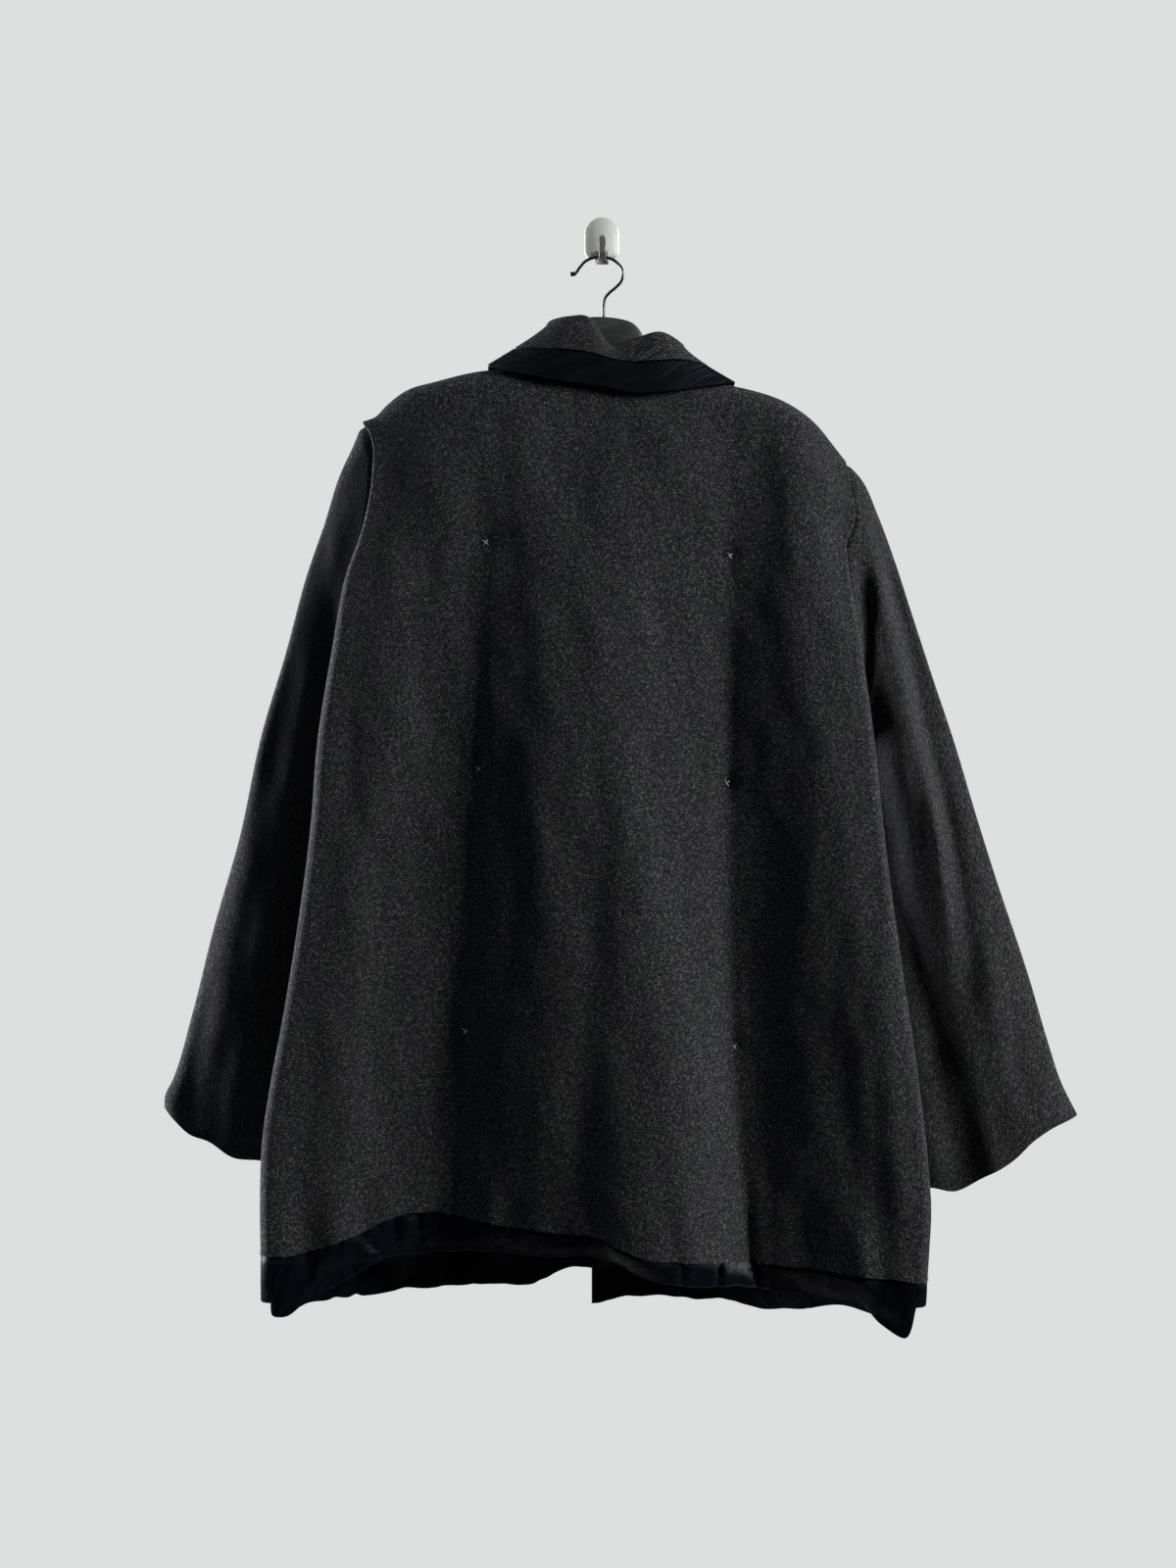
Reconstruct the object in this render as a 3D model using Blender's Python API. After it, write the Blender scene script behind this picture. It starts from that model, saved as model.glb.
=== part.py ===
"""A frog-button jacket of grey wool with satin bands, on a plastic hanger and a steel wall hook.

Metres, +Z up. The wall is the plane y = 0. The jacket hangs in front of it, at negative y, with
its fronts to the wall and its back to the room. The origin is the middle of the back face of the
wall hook's plate. The tables are in millimetres: x runs to the right as one faces the wall, z
runs up, and depth is the distance in front of the wall. Across a piece, share u runs from left
to right or from the side seam to the front edge; down a piece, share v runs from top to hem.
"""

import math
from collections import namedtuple
from functools import partial

import bmesh
import bpy
import numpy as np

# Driving dimensions, in millimetres
MM = 0.001
WOOL = 2.0  # thickness of the coating wool
SATIN = 1.5  # thickness of the satin bands, two layers of cloth
SEAM_GAP = 0.4  # between two pieces along a seam
SIDE_GAP = 0.7  # between the middles of two walls that turn as they meet
HANG_DEPTH = 24.0  # the hanger's middle plane in front of the wall
SHOULDER_HALF = 14.5  # from that plane to the cloth over the hanger's arms
SHOULDER_END_HALF = 8.5  # and at the shoulder's outer corner
SHOULDER_END = 0.16  # share of the back's width over which it thins to that
SHOULDER_ROUND = 18.0  # height over which the shoulder rounds over
SWELL = 52.0  # how much further the back stands off at the hem
SWELL_POWER = 0.7
CURL_SHARE = 0.10  # share of the back's width that turns round its edge
CURL_ANGLE = math.radians(150)
CURL_RADIUS = 10.5
CURL_LEAST = 0.05  # at the shoulder
CURL_GROWTH = (-0.02, 0.34)  # shares v over which the turned edge grows round
BAND_TUCK = 6.0  # how far the back band's lower edge turns in
BACK_HEIGHT = 790.0  # of the wool, shoulder to hem
BACK_NECK = (0.33, 0.37, 0.64, 0.68)  # shares of the back's width where its neck starts and ends
FRONT_NECK = (0.57, 0.61)  # shares of a front's width where its shoulder seam ends
UNDERARM = 0.32  # share v of the underarm
CENTRE_DEPTH_TOP = 9.5  # the front edges at the neck
CENTRE_DEPTH = 16.5  # and from the chest down
CENTRE_FLARE = 4.0  # added towards the hem
FRONT_FALL = (0.12, 0.7)  # shares of a front's width over which it comes down to its edge
TURN_WIDTH = 0.05  # the soft turn beside the side seam
TURN_SHARE = 0.16
SHOULDER_FADE = 0.12  # share v over which the shoulder's shape fades
SIDE_FADE = 0.08  # share of a front's width over which it comes to the side seam
BACK_RIPPLES = 44.0  # radians of the pucker along the back band
BACK_RIPPLE_DEPTH = 2.5
FRONT_RIPPLES = 30.0
FRONT_RIPPLE_DEPTH = 2.0

Point = namedtuple("Point", "x z")

# The back's outline. The shoulder line, with the back neck between its shoulders.
SHOULDER_LINE = [
    Point(-230, -184), Point(-219, -180), Point(-208, -169), Point(-188, -154),
    Point(-161, -146), Point(-118, -136), Point(-70, -134), Point(7, -141),
    Point(85, -146), Point(137, -152.5), Point(177, -166), Point(200, -181.5),
    Point(223, -208), Point(233, -221),
]
BACK_LEFT = [
    Point(-230, -184), Point(-221, -200), Point(-219, -235), Point(-223, -265),
    Point(-232, -300), Point(-243, -331), Point(-256, -400), Point(-270, -492),
    Point(-276, -574), Point(-288, -671), Point(-301, -755), Point(-312, -816),
    Point(-319, -865), Point(-321, -930), Point(-320, -974),
]
BACK_RIGHT = [
    Point(233, -221), Point(238, -252), Point(241, -273), Point(239, -287),
    Point(233, -301), Point(234, -325), Point(238, -359), Point(247, -419),
    Point(256, -491), Point(261, -547), Point(269, -625), Point(279, -705),
    Point(292.5, -807), Point(301, -893), Point(302.5, -926), Point(300, -965),
    Point(298, -990),
]
BACK_HEM = [
    Point(-320, -974), Point(-302, -974), Point(-276, -968), Point(-253, -960),
    Point(-225, -950), Point(-200, -939), Point(-174, -937), Point(-103, -945),
    Point(-44, -950), Point(-10, -951), Point(15, -961), Point(38, -969),
    Point(73, -973), Point(131, -978), Point(211, -983), Point(245, -985.5),
    Point(298, -990),
]
BACK_BAND_LOW = [
    Point(-321, -1019), Point(-319, -1031), Point(-308, -1032), Point(-287, -1018),
    Point(-252, -1000), Point(-205, -978), Point(-168, -975), Point(-106, -971),
    Point(-55, -974), Point(-10, -971), Point(15, -978), Point(38, -987),
    Point(80, -996), Point(131, -999), Point(168, -1005), Point(220, -1010),
    Point(248, -1014), Point(266, -1031), Point(288, -1042), Point(298, -1014),
]

# The fronts, each from the side to the front edge.
FRONT_TOP = {
    "left": [
        Point(-230, -184), Point(-219, -180), Point(-208, -169), Point(-188, -154),
        Point(-161, -146), Point(-118, -136), Point(-62, -134), Point(-46, -158),
        Point(-22, -186), Point(5, -204),
    ],
    "right": [
        Point(233, -221), Point(223, -208), Point(200, -181.5), Point(177, -166),
        Point(137, -152.5), Point(82, -146), Point(64, -168), Point(38, -192),
        Point(8, -206),
    ],
}
FRONT_EDGE = {
    "left": [
        Point(5, -204), Point(1, -400), Point(-4, -600), Point(-8, -760),
        Point(-11, -880), Point(-13, -966),
    ],
    "right": [
        Point(8, -206), Point(4, -400), Point(-1, -600), Point(-5, -760),
        Point(-8, -880), Point(-10, -997),
    ],
}
FRONT_HEM = {
    "left": [
        Point(-315, -974), Point(-280, -985), Point(-222, -986), Point(-158, -980),
        Point(-94, -976), Point(-46, -970), Point(-13, -966),
    ],
    "right": [
        Point(293, -990), Point(250, -998), Point(183, -998), Point(97, -992),
        Point(25, -993), Point(-10, -997),
    ],
}
FRONT_BAND_LOW = {
    "left": [
        Point(-315, -1014), Point(-303, -1033), Point(-280, -1026), Point(-222, -1020),
        Point(-158, -1017), Point(-94, -1016), Point(-58, -1014), Point(-44, -1004),
        Point(-25, -999), Point(-13, -1001),
    ],
    "right": [
        Point(293, -1012), Point(284, -1036), Point(268, -1032), Point(224, -1022),
        Point(183, -1031), Point(145, -1035), Point(118, -1028), Point(92, -1030),
        Point(59, -1027), Point(25, -1030), Point(-10, -1035),
    ],
}

# Depth of a front's outer edge above the underarm: the front half of the armhole.
ArmholeRow = namedtuple("ArmholeRow", "v depth")
ARMHOLE_FRONT = [
    ArmholeRow(0.00, HANG_DEPTH), ArmholeRow(0.03, 16.0), ArmholeRow(0.08, 12.0),
    ArmholeRow(0.16, 14.0), ArmholeRow(0.24, 24.0),
]

# The back's long folds: where each lies across, how far it reaches to its left and right, how
# round its middle is (2 is round, 1 a sharp crease), and how deep it is. A depth below zero is a
# ridge towards the room.
FoldRow = namedtuple("FoldRow", "u_top u_hem left right roundness depth_top depth_hem")
BACK_FOLDS = [
    FoldRow(0.242, 0.268, 0.190, 0.095, 1.4, 6.5, 23.0),
    FoldRow(0.410, 0.650, 0.170, 0.105, 2.0, 2.0, -29.0),
    FoldRow(0.737, 0.750, 0.100, 0.100, 1.3, 7.5, 16.0),
    FoldRow(0.985, 0.985, 0.150, 0.200, 1.7, -6.0, -36.0),
    FoldRow(0.000, 0.000, 0.080, 0.150, 2.0, -2.0, -5.0),
]
FOLD_START = (0.02, 0.25)  # shares v over which the folds begin below the shoulder

# The sleeves, from shoulder to cuff.
SLEEVE_OUTER = {
    "left": [
        Point(-231, -186), Point(-240, -208), Point(-251, -231), Point(-268, -283),
        Point(-284, -329), Point(-305, -407), Point(-328, -485), Point(-349, -585),
        Point(-374, -674), Point(-394, -755), Point(-413, -819), Point(-420, -834),
        Point(-420, -843),
    ],
    "right": [
        Point(234, -223), Point(250, -240), Point(265, -272), Point(281, -314),
        Point(298, -366), Point(321, -437), Point(337, -485), Point(362, -569),
        Point(380, -627), Point(410, -718), Point(430, -787), Point(440, -818),
        Point(456, -851),
    ],
}
SLEEVE_INNER = {
    "left": [
        Point(-259, -434), Point(-262, -533), Point(-263, -627), Point(-264, -722),
        Point(-266, -816), Point(-268, -906),
    ],
    "right": [
        Point(246, -446), Point(252, -533), Point(258, -627), Point(266, -722),
        Point(273, -816), Point(282, -926),
    ],
}
SleeveRow = namedtuple("SleeveRow", "w depth thickness")
SLEEVE_SECTIONS = [
    SleeveRow(0.00, 23.0, 16.0), SleeveRow(0.15, 19.0, 20.0), SleeveRow(0.40, 20.0, 24.0),
    SleeveRow(0.70, 24.0, 32.0), SleeveRow(1.00, 28.0, 38.0),
]
# How far each cuff's edge hangs below a straight line, from its outer end to the body.
CuffRow = namedtuple("CuffRow", "across drop")
CUFF_DROP = {
    "left": [
        CuffRow(0.00, 0), CuffRow(0.08, 8), CuffRow(0.15, 13.5), CuffRow(0.30, 13),
        CuffRow(0.44, 18), CuffRow(0.60, 11), CuffRow(1.00, 2),
    ],
    "right": [
        CuffRow(0.00, 0), CuffRow(0.19, 1), CuffRow(0.27, 5), CuffRow(0.34, 12),
        CuffRow(0.52, 18.5), CuffRow(0.68, 21), CuffRow(0.81, 8), CuffRow(1.00, 0),
    ],
}
CUFF_START = 0.85  # share w from which the sleeve runs into its cuff
ARMHOLE_TUCK = 2.6  # the sleeve's first ring lies this far inside the armhole's edge
ARMHOLE_GAP = 1.6  # and this far outside its line
ARMHOLE_GAP_TOP = 0.6
ARMHOLE_GAP_FRONT = 0.9
ARMHOLE_BLEND = 0.18  # share of the sleeve over which it leaves the armhole's shape
SLEEVE_FLATNESS = 0.75
# Each sleeve sinks towards the body: where, across its top and its cuff, and how much.
SleeveSink = namedtuple("SleeveSink", "top cuff amount")
SINK_SIDES = (-0.09, 0.12)  # from its line, the shares across over which it sinks
SINK_START = (0.1, 0.35)  # shares w over which it begins
SLEEVE_SINK = {"left": SleeveSink(0.80, 0.62, 0.22), "right": SleeveSink(0.72, 0.52, 0.45)}

# The long ridge down the room side of the right sleeve, and the furrow beside it.
SleeveFold = namedtuple("SleeveFold", "height body_width outer_width route")
SLEEVE_FOLDS = [
    SleeveFold(7.0, 15.0, 11.0, [
        Point(243, -282), Point(254, -307), Point(265, -336), Point(274, -377),
        Point(286, -428), Point(295, -476), Point(308, -524), Point(317, -566),
        Point(324, -614), Point(330, -668), Point(345, -761),
    ]),
    SleeveFold(-3.5, 9.0, 14.0, [
        Point(262, -300), Point(284, -354), Point(305, -442), Point(327, -538),
        Point(346, -632), Point(362, -760),
    ]),
]
SLEEVE_FOLD_START = (0.02, 0.12)  # shares w over which they leave the armhole
SLEEVE_FOLD_COLUMNS = (0.14, 0.30, 11)  # the closer columns that carry them: from, to, count
FOLD_FADE = (0.12, 0.4)  # shares of a fold's length over which it rises and dies away

# The collar, round the neck from the left front edge to the right one.
CollarRow = namedtuple(
    "CollarRow",
    "facing seam_x seam_depth seam_z fold_x fold_depth fold_z edge_x edge_depth edge_z",
)
COLLAR_SECTIONS = [
    CollarRow(180, 2, 12.0, -204, 0, 8.5, -184, -28, 5.0, -262),
    CollarRow(180, -24, 12.0, -184, -24, 9.0, -156, -50, 4.8, -238),
    CollarRow(190, -48, 12.5, -155, -44, 8.5, -122, -78, 4.8, -192),
    CollarRow(235, -60, 16.0, -131, -55, 15.0, -96, -106, 6.5, -143),
    CollarRow(270, -60, 22.0, -130, -53, 24.0, -92, -110, 22.0, -129),
    CollarRow(300, -54, 29.0, -131, -48, 32.0, -88, -102, 38.0, -135),
    CollarRow(340, -35, 36.0, -134, -30, 40.0, -86, -60, 47.0, -145),
    CollarRow(355, -12, 36.4, -138, -12, 41.0, -88, -14, 47.5, -152),
    CollarRow(0, 7, 36.4, -141, 8, 41.5, -114, 8, 48.0, -155),
    CollarRow(5, 28, 36.4, -142, 30, 41.0, -108, 31, 48.0, -160),
    CollarRow(20, 54, 36.0, -144, 55, 40.0, -101, 66, 47.5, -158),
    CollarRow(60, 76, 29.0, -144, 75, 32.0, -109.5, 116, 39.0, -150),
    CollarRow(90, 82, 22.0, -144, 78, 24.0, -115, 128, 22.0, -146),
    CollarRow(125, 80, 16.0, -145, 76, 15.0, -116, 120, 6.5, -158),
    CollarRow(170, 66, 12.5, -167, 62, 8.5, -134, 96, 4.8, -201),
    CollarRow(180, 40, 12.0, -191, 38, 9.0, -164, 64, 4.8, -240),
    CollarRow(180, 11, 12.0, -206, 12, 8.5, -186, 38, 5.0, -264),
]
COLLAR_BAND_WIDTH = 22.5
COLLAR_BAND_MOST = 0.72  # the band's largest share of the fall
COLLAR_BAND_GAP = 0.006  # share t left free on each side of the band's seam
COLLAR_ROLL = 2.8  # half the width of the collar's roll
COLLAR_ROLL_DROP = 4.0
FOLD_SHARE = 0.42
ROLL_SHARE = 0.12

# The hanger: sections out from its middle; heights are below the top of its neck.
HangerRow = namedtuple("HangerRow", "across top bottom half_depth")
HANGER_SECTIONS = [
    HangerRow(0, 0, -72, 7), HangerRow(15, -1, -73, 7), HangerRow(28, -4.5, -75, 7),
    HangerRow(36, -12, -77, 7), HangerRow(41, -23, -79, 7), HangerRow(45, -41, -82, 7),
    HangerRow(50, -52, -85, 7.5), HangerRow(60, -57, -88, 8), HangerRow(80, -61, -93, 8.5),
    HangerRow(100, -64.5, -98, 9), HangerRow(135, -69, -104, 10), HangerRow(165, -77, -109, 10),
    HangerRow(183, -86, -112, 9), HangerRow(191, -93, -110, 6.5), HangerRow(195, -99, -107, 3),
]
HANGER_TOP = Point(1.5, -82.3)
HANGER_TILT = math.radians(2.5)
HANGER_SQUARENESS = 0.7  # 1 is an oval section, less is squarer
WIRE_RADIUS = 1.45
WIRE_KNOB = 1.45  # the rolled end is this many times thicker
WIRE_KNOB_SHARE = 0.05
WIRE_ROUTE = [
    Point(-30.6, -41.0), Point(-26.4, -40.5), Point(-22.0, -35.0), Point(-16.2, -28.6),
    Point(-5.0, -24.5), Point(2.7, -24.8), Point(9.8, -26.7), Point(15.2, -30.6),
    Point(19.0, -36.0), Point(20.0, -41.5), Point(18.0, -48.5), Point(12.9, -54.0),
    Point(7.0, -59.0), Point(3.2, -63.5), Point(1.8, -70.0), Point(1.5, -81.9),
]

# The wall hook
PLATE_HALF_WIDTH = 16.7
PLATE_TOP = 20.5
PLATE_BOTTOM = -20.5
PLATE_CORNER = 8.0
PLATE_THICKNESS = 1.6
PEG_THICKNESS = 1.2
PegRow = namedtuple("PegRow", "depth z half_width")
PEG_SECTIONS = [
    PegRow(2.7, -13.0, 6.5), PegRow(2.9, -20.0, 6.5), PegRow(4.8, -24.8, 6.5),
    PegRow(9.0, -27.0, 6.3), PegRow(16.0, -27.3, 5.6), PegRow(24.0, -27.4, 4.0),
    PegRow(28.2, -25.8, 3.2), PegRow(30.4, -22.4, 3.0), PegRow(30.9, -16.0, 3.0),
    PegRow(30.9, -8.0, 3.0), PegRow(30.9, -5.6, 1.8),
]

# The frogs
FROG_HEIGHTS = (-300, -455, -610, -760)
CORD_RADIUS = 2.0
KNOT_RADIUS = 5.5
KNOT_FLATNESS = 0.7
LEAF_LENGTH = 40.0
LEAF_HALF = 6.5
LOOP_HALF = 8.6


def spline(rows, share):
    """Points on a smooth curve through the rows, at shares of its chord length."""
    rows = np.array(rows, float)
    share = np.asarray(share, float)
    steps = np.linalg.norm(np.diff(rows, axis=0), axis=1)
    knots = np.concatenate([[0.0], np.cumsum(steps)]) / steps.sum()
    return through(rows, knots, share)


def through(rows, knots, at):
    """Cubic Hermite interpolation of the rows at their knots."""
    slopes = np.gradient(rows, knots, axis=0)
    i = np.clip(np.searchsorted(knots, at, side="right") - 1, 0, len(knots) - 2)
    span = (knots[i + 1] - knots[i])[..., None]
    t = ((at - knots[i]) / span[..., 0])[..., None]
    start = rows[i] * (2 * t**3 - 3 * t**2 + 1) + slopes[i] * span * (t**3 - 2 * t**2 + t)
    end = rows[i + 1] * (3 * t**2 - 2 * t**3) + slopes[i + 1] * span * (t**3 - t**2)
    return start + end


def column(rows, at):
    """A table's later columns, interpolated at values of its first column."""
    rows = np.array(rows, float)
    return through(rows[:, 1:], rows[:, 0], np.asarray(at, float))


def smoothstep(low, high, x):
    t = np.clip((x - low) / (high - low), 0, 1)
    return t * t * (3 - 2 * t)


def mix(a, b, t):
    return a + (b - a) * t


def patch(top, bottom, start, end, u, v):
    """The smooth surface between four edge curves, which meet at their ends."""
    u, v = np.broadcast_arrays(u, v)
    a, b = u[..., None], v[..., None]
    across = mix(spline(top, u), spline(bottom, u), b)
    down = mix(spline(start, v), spline(end, v), a)
    corners = mix(
        mix(np.array(top[0], float), np.array(top[-1], float), a),
        mix(np.array(bottom[0], float), np.array(bottom[-1], float), a),
        b,
    )
    return across + down - corners


def points(x, depth, z):
    """Places in metres from millimetres and a depth before the wall."""
    x, depth, z = np.broadcast_arrays(x, depth, z)
    return np.stack([x, -depth, z], axis=-1) * MM


def shoulder_half(u):
    """Half the depth of the shoulder at share u from its outer corner."""
    return mix(SHOULDER_END_HALF, SHOULDER_HALF, smoothstep(0, SHOULDER_END, u))


def round_over(drop):
    """0 on the shoulder ridge, 1 where the cloth hangs straight down."""
    near = 1 - np.clip(drop / SHOULDER_ROUND, 0, 1)
    return np.sqrt(np.maximum(1 - near**2, 0))


def back_folds(u, v):
    """How far the long folds take the back towards the wall."""
    depth = 0.0
    for fold in BACK_FOLDS:
        away = u - mix(fold.u_top, fold.u_hem, v)
        reach = np.where(away < 0, fold.left, fold.right)
        height = mix(fold.depth_top, fold.depth_hem, v) * smoothstep(*FOLD_START, v)
        depth = depth + height * np.exp(-(np.abs(away / reach) ** fold.roundness))
    return depth


def back_depth(u, v):
    """Depth of the back panel's middle surface between its edges."""
    left, left_end, right_start, right = BACK_NECK
    neck = smoothstep(left, left_end, u) * (1 - smoothstep(right_start, right, u))
    rounding = mix(round_over(v * BACK_HEIGHT), 1.0, neck)
    half = shoulder_half(np.minimum(u, 1 - u))
    ridge = HANG_DEPTH + SEAM_GAP
    return ridge + half * rounding + SWELL * v**SWELL_POWER - back_folds(u, v)


def curl_radius(v):
    """Radius of the back's turned edges, almost none at the shoulder."""
    return CURL_LEAST + CURL_RADIUS * smoothstep(*CURL_GROWTH, v)


def curled(u, v, flat_points, depth):
    """Turns the left and right ends of a back piece round their edges, towards the wall."""
    radius = curl_radius(v)
    left = np.clip((CURL_SHARE - u) / CURL_SHARE, 0, 1)
    right = np.clip((u - 1 + CURL_SHARE) / CURL_SHARE, 0, 1)
    inner = np.clip((u - CURL_SHARE) / (1 - 2 * CURL_SHARE), 0, 1)
    angle = (left + right) * CURL_ANGLE
    inset = radius * (1 - 2 * inner) - radius * np.sin(angle) * np.sign(left - right)
    back = radius * (1 - np.cos(angle))
    return points(flat_points[..., 0] + inset, depth - back, flat_points[..., 1])


def back(u, v):
    """The back panel's middle surface."""
    inner = np.clip((u - CURL_SHARE) / (1 - 2 * CURL_SHARE), 0, 1)
    flat = patch(SHOULDER_LINE, BACK_HEM, BACK_LEFT, BACK_RIGHT, inner, v)
    return curled(u, v, flat, back_depth(inner, v))


def back_band(u, t):
    """The back's satin hem band, from the wool's edge down."""
    inner = np.clip((u - CURL_SHARE) / (1 - 2 * CURL_SHARE), 0, 1)
    hem = spline(BACK_HEM, inner)
    hem[..., 1] -= SEAM_GAP
    flat = mix(hem, spline(BACK_BAND_LOW, inner), t[..., None])
    ripple = np.sin(BACK_RIPPLES * inner) * np.sin(math.pi * inner)
    tuck = BAND_TUCK * t**2 - BACK_RIPPLE_DEPTH * t * ripple
    return curled(u, np.ones_like(u), flat, back_depth(inner, 1.0) - tuck)


def side_seam(side, v):
    """The back's turned edge, which the front meets, in millimetres: x, depth, z."""
    ends = back(np.full_like(v, 0.0 if side == "left" else 1.0), v) / MM
    return ends * np.array([1, -1, 1])


def outward(side):
    return -1.0 if side == "left" else 1.0


def armhole_front_depth(side, v):
    """Depth of a front's outer edge: the armhole's front half, then the side seam."""
    seam = side_seam(side, np.clip(v, 0, 1))[..., 1] - SIDE_GAP
    join = float(side_seam(side, np.array(UNDERARM))[..., 1]) - SIDE_GAP
    rows = ARMHOLE_FRONT + [ArmholeRow(UNDERARM, join)]
    above = column(rows, np.clip(v, 0, UNDERARM))[..., 0]
    return np.where(v < UNDERARM, above, seam)


def front_depth(side, u, v):
    """Depth of a front's middle surface, from its side to its front edge."""
    edge = armhole_front_depth(side, v)
    centre = mix(CENTRE_DEPTH_TOP, CENTRE_DEPTH, smoothstep(0.0, 0.2, v)) + CENTRE_FLARE * v
    turned = 1 - np.exp(-u / TURN_WIDTH)
    inwards = mix(smoothstep(*FRONT_FALL, u), turned, TURN_SHARE)
    wide = mix(edge, centre, inwards)
    upper = HANG_DEPTH - shoulder_half(u * np.mean(FRONT_NECK))
    wide = mix(upper, wide, smoothstep(0.0, SHOULDER_FADE, v))
    shoulder = 1 - smoothstep(*FRONT_NECK, u)
    rounding = mix(1.0, round_over(v * BACK_HEIGHT), shoulder)
    return mix(HANG_DEPTH - SEAM_GAP, wide, rounding)


def front_flat(side, u, v):
    """A front's outline, x and z."""
    seam = side_seam(side, v)
    rows = side_rows(side)
    outline = patch(FRONT_TOP[side], FRONT_HEM[side], rows, FRONT_EDGE[side], u, v)
    start = spline(rows, v)
    fade = np.exp(-u / SIDE_FADE)
    outline[..., 0] += (seam[..., 0] - start[..., 0]) * fade
    outline[..., 1] += (seam[..., 2] - start[..., 1]) * fade
    return outline


def side_rows(side):
    """The side's outline with its hem at the front's first point."""
    rows = BACK_LEFT if side == "left" else BACK_RIGHT
    return rows[:-1] + [FRONT_HEM[side][0]]


def front(side, u, v):
    """A front's middle surface, u from the side to the front edge."""
    flat = front_flat(side, u, v)
    return points(flat[..., 0], front_depth(side, u, v), flat[..., 1])


def front_band(side, u, t):
    """A front's satin hem band."""
    ones = np.ones_like(u)
    hem = front_flat(side, u, ones)
    low = spline(FRONT_BAND_LOW[side], u)
    hem[..., 1] -= SEAM_GAP
    flat = mix(hem, low, t[..., None])
    zeros = np.zeros_like(u)
    ends = back_band(ones if side == "right" else zeros, t) / MM
    start = mix(front_flat(side, zeros, ones), spline(FRONT_BAND_LOW[side], zeros), t[..., None])
    fade = np.exp(-u / SIDE_FADE)
    flat[..., 0] += (ends[..., 0] - start[..., 0]) * fade
    flat[..., 1] += (ends[..., 2] - start[..., 1]) * fade
    ripple = FRONT_RIPPLE_DEPTH * np.sin(FRONT_RIPPLES * u) * t * (1 - u)
    tuck = (BAND_TUCK * t**2 + SEAM_GAP * t) * fade
    return points(flat[..., 0], front_depth(side, u, ones) - ripple - tuck, flat[..., 1])


def armhole(side, turn):
    """The sleeve's first ring: down the back of the armhole, and up its front."""
    v = UNDERARM * (1 - np.cos(turn)) / 2
    behind = side_seam(side, v)
    before = side_seam(side, v)
    before[..., 1] = armhole_front_depth(side, v)
    on_back = (np.sin(turn) >= 0)[..., None]
    ring = np.where(on_back, behind, before)
    sine = np.sin(turn)
    low = (1 - np.cos(turn)) / 2
    across = np.where(sine >= 0, ARMHOLE_GAP, ARMHOLE_GAP_FRONT) * np.abs(sine)
    ring[..., 0] += outward(side) * (ARMHOLE_GAP_TOP + across + ARMHOLE_GAP * low)
    ring[..., 1] -= np.where(sine >= 0, ARMHOLE_TUCK, 0.0) * np.sqrt(np.abs(sine))
    ring[..., 2] -= ARMHOLE_GAP * (1 - low)
    return ring


def sleeve_ring(side, turn, w):
    """An open, flattened ring of the sleeve at share w, in millimetres: x, depth, z."""
    outer = spline(SLEEVE_OUTER[side], w)
    inner = spline(SLEEVE_INNER[side], w)
    section = column(SLEEVE_SECTIONS, w)
    across = (1 - np.cos(turn)) / 2
    sine = np.sin(turn)
    sink = SLEEVE_SINK[side]
    valley = smoothstep(*SINK_SIDES, across - mix(sink.top, sink.cuff, w))
    bulge = 1 - sink.amount * valley * smoothstep(*SINK_START, w) * (sine > 0)
    swing = np.sign(sine) * np.abs(sine) ** SLEEVE_FLATNESS * bulge
    flat = mix(outer, inner, across[..., None])
    depth = section[..., 0] + section[..., 1] / 2 * swing
    drop = column(CUFF_DROP[side], across)[..., 0] * smoothstep(CUFF_START, 1, w)
    return np.stack([flat[..., 0], depth, flat[..., 1] - drop], axis=-1)


def from_route(route, x, z):
    """Distance from a line of points, its sign by the side in x, and the share along it."""
    line = spline(route, np.linspace(0, 1, 25))
    start, step = line[:-1], np.diff(line, axis=0)
    off = np.stack([x, z], axis=-1)[..., None, :] - start
    along = np.clip((off * step).sum(axis=-1) / (step**2).sum(axis=-1), 0, 1)
    off = off - along[..., None] * step
    distance = np.linalg.norm(off, axis=-1)
    nearest = distance.argmin(axis=-1)[..., None]
    sign = np.sign(np.take_along_axis(off[..., 0], nearest, -1)[..., 0])
    share = (nearest + np.take_along_axis(along, nearest, -1))[..., 0] / len(start)
    return np.take_along_axis(distance, nearest, -1)[..., 0] * sign, share


def sleeve_folds(x, z):
    """Height of the right sleeve's long folds towards the room."""
    height = 0.0
    rise, die = FOLD_FADE
    for fold in SLEEVE_FOLDS:
        distance, share = from_route(fold.route, x, z)
        width = np.where(distance < 0, fold.body_width, fold.outer_width)
        fade = smoothstep(0, rise, share) * (1 - smoothstep(1 - die, 1, share))
        height = height + fold.height * fade * np.exp(-((distance / width) ** 2))
    return height


def sleeve(side, u, w):
    """A sleeve's middle surface, u round it from its outer fold over the side away from the wall."""
    turn = 2 * math.pi * u
    ring = sleeve_ring(side, turn, w)
    first = sleeve_ring(side, turn, np.zeros_like(w))
    blend = np.clip(1 - w / ARMHOLE_BLEND, 0, 1)[..., None] ** 2
    ring = ring + blend * (armhole(side, turn) - first)
    if side == "right":
        room_side = np.clip(2 * np.sin(turn), 0, 1) * smoothstep(*SLEEVE_FOLD_START, w)
        ring[..., 1] += sleeve_folds(ring[..., 0], ring[..., 2]) * room_side
    return points(ring[..., 0], ring[..., 1], ring[..., 2])


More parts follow.
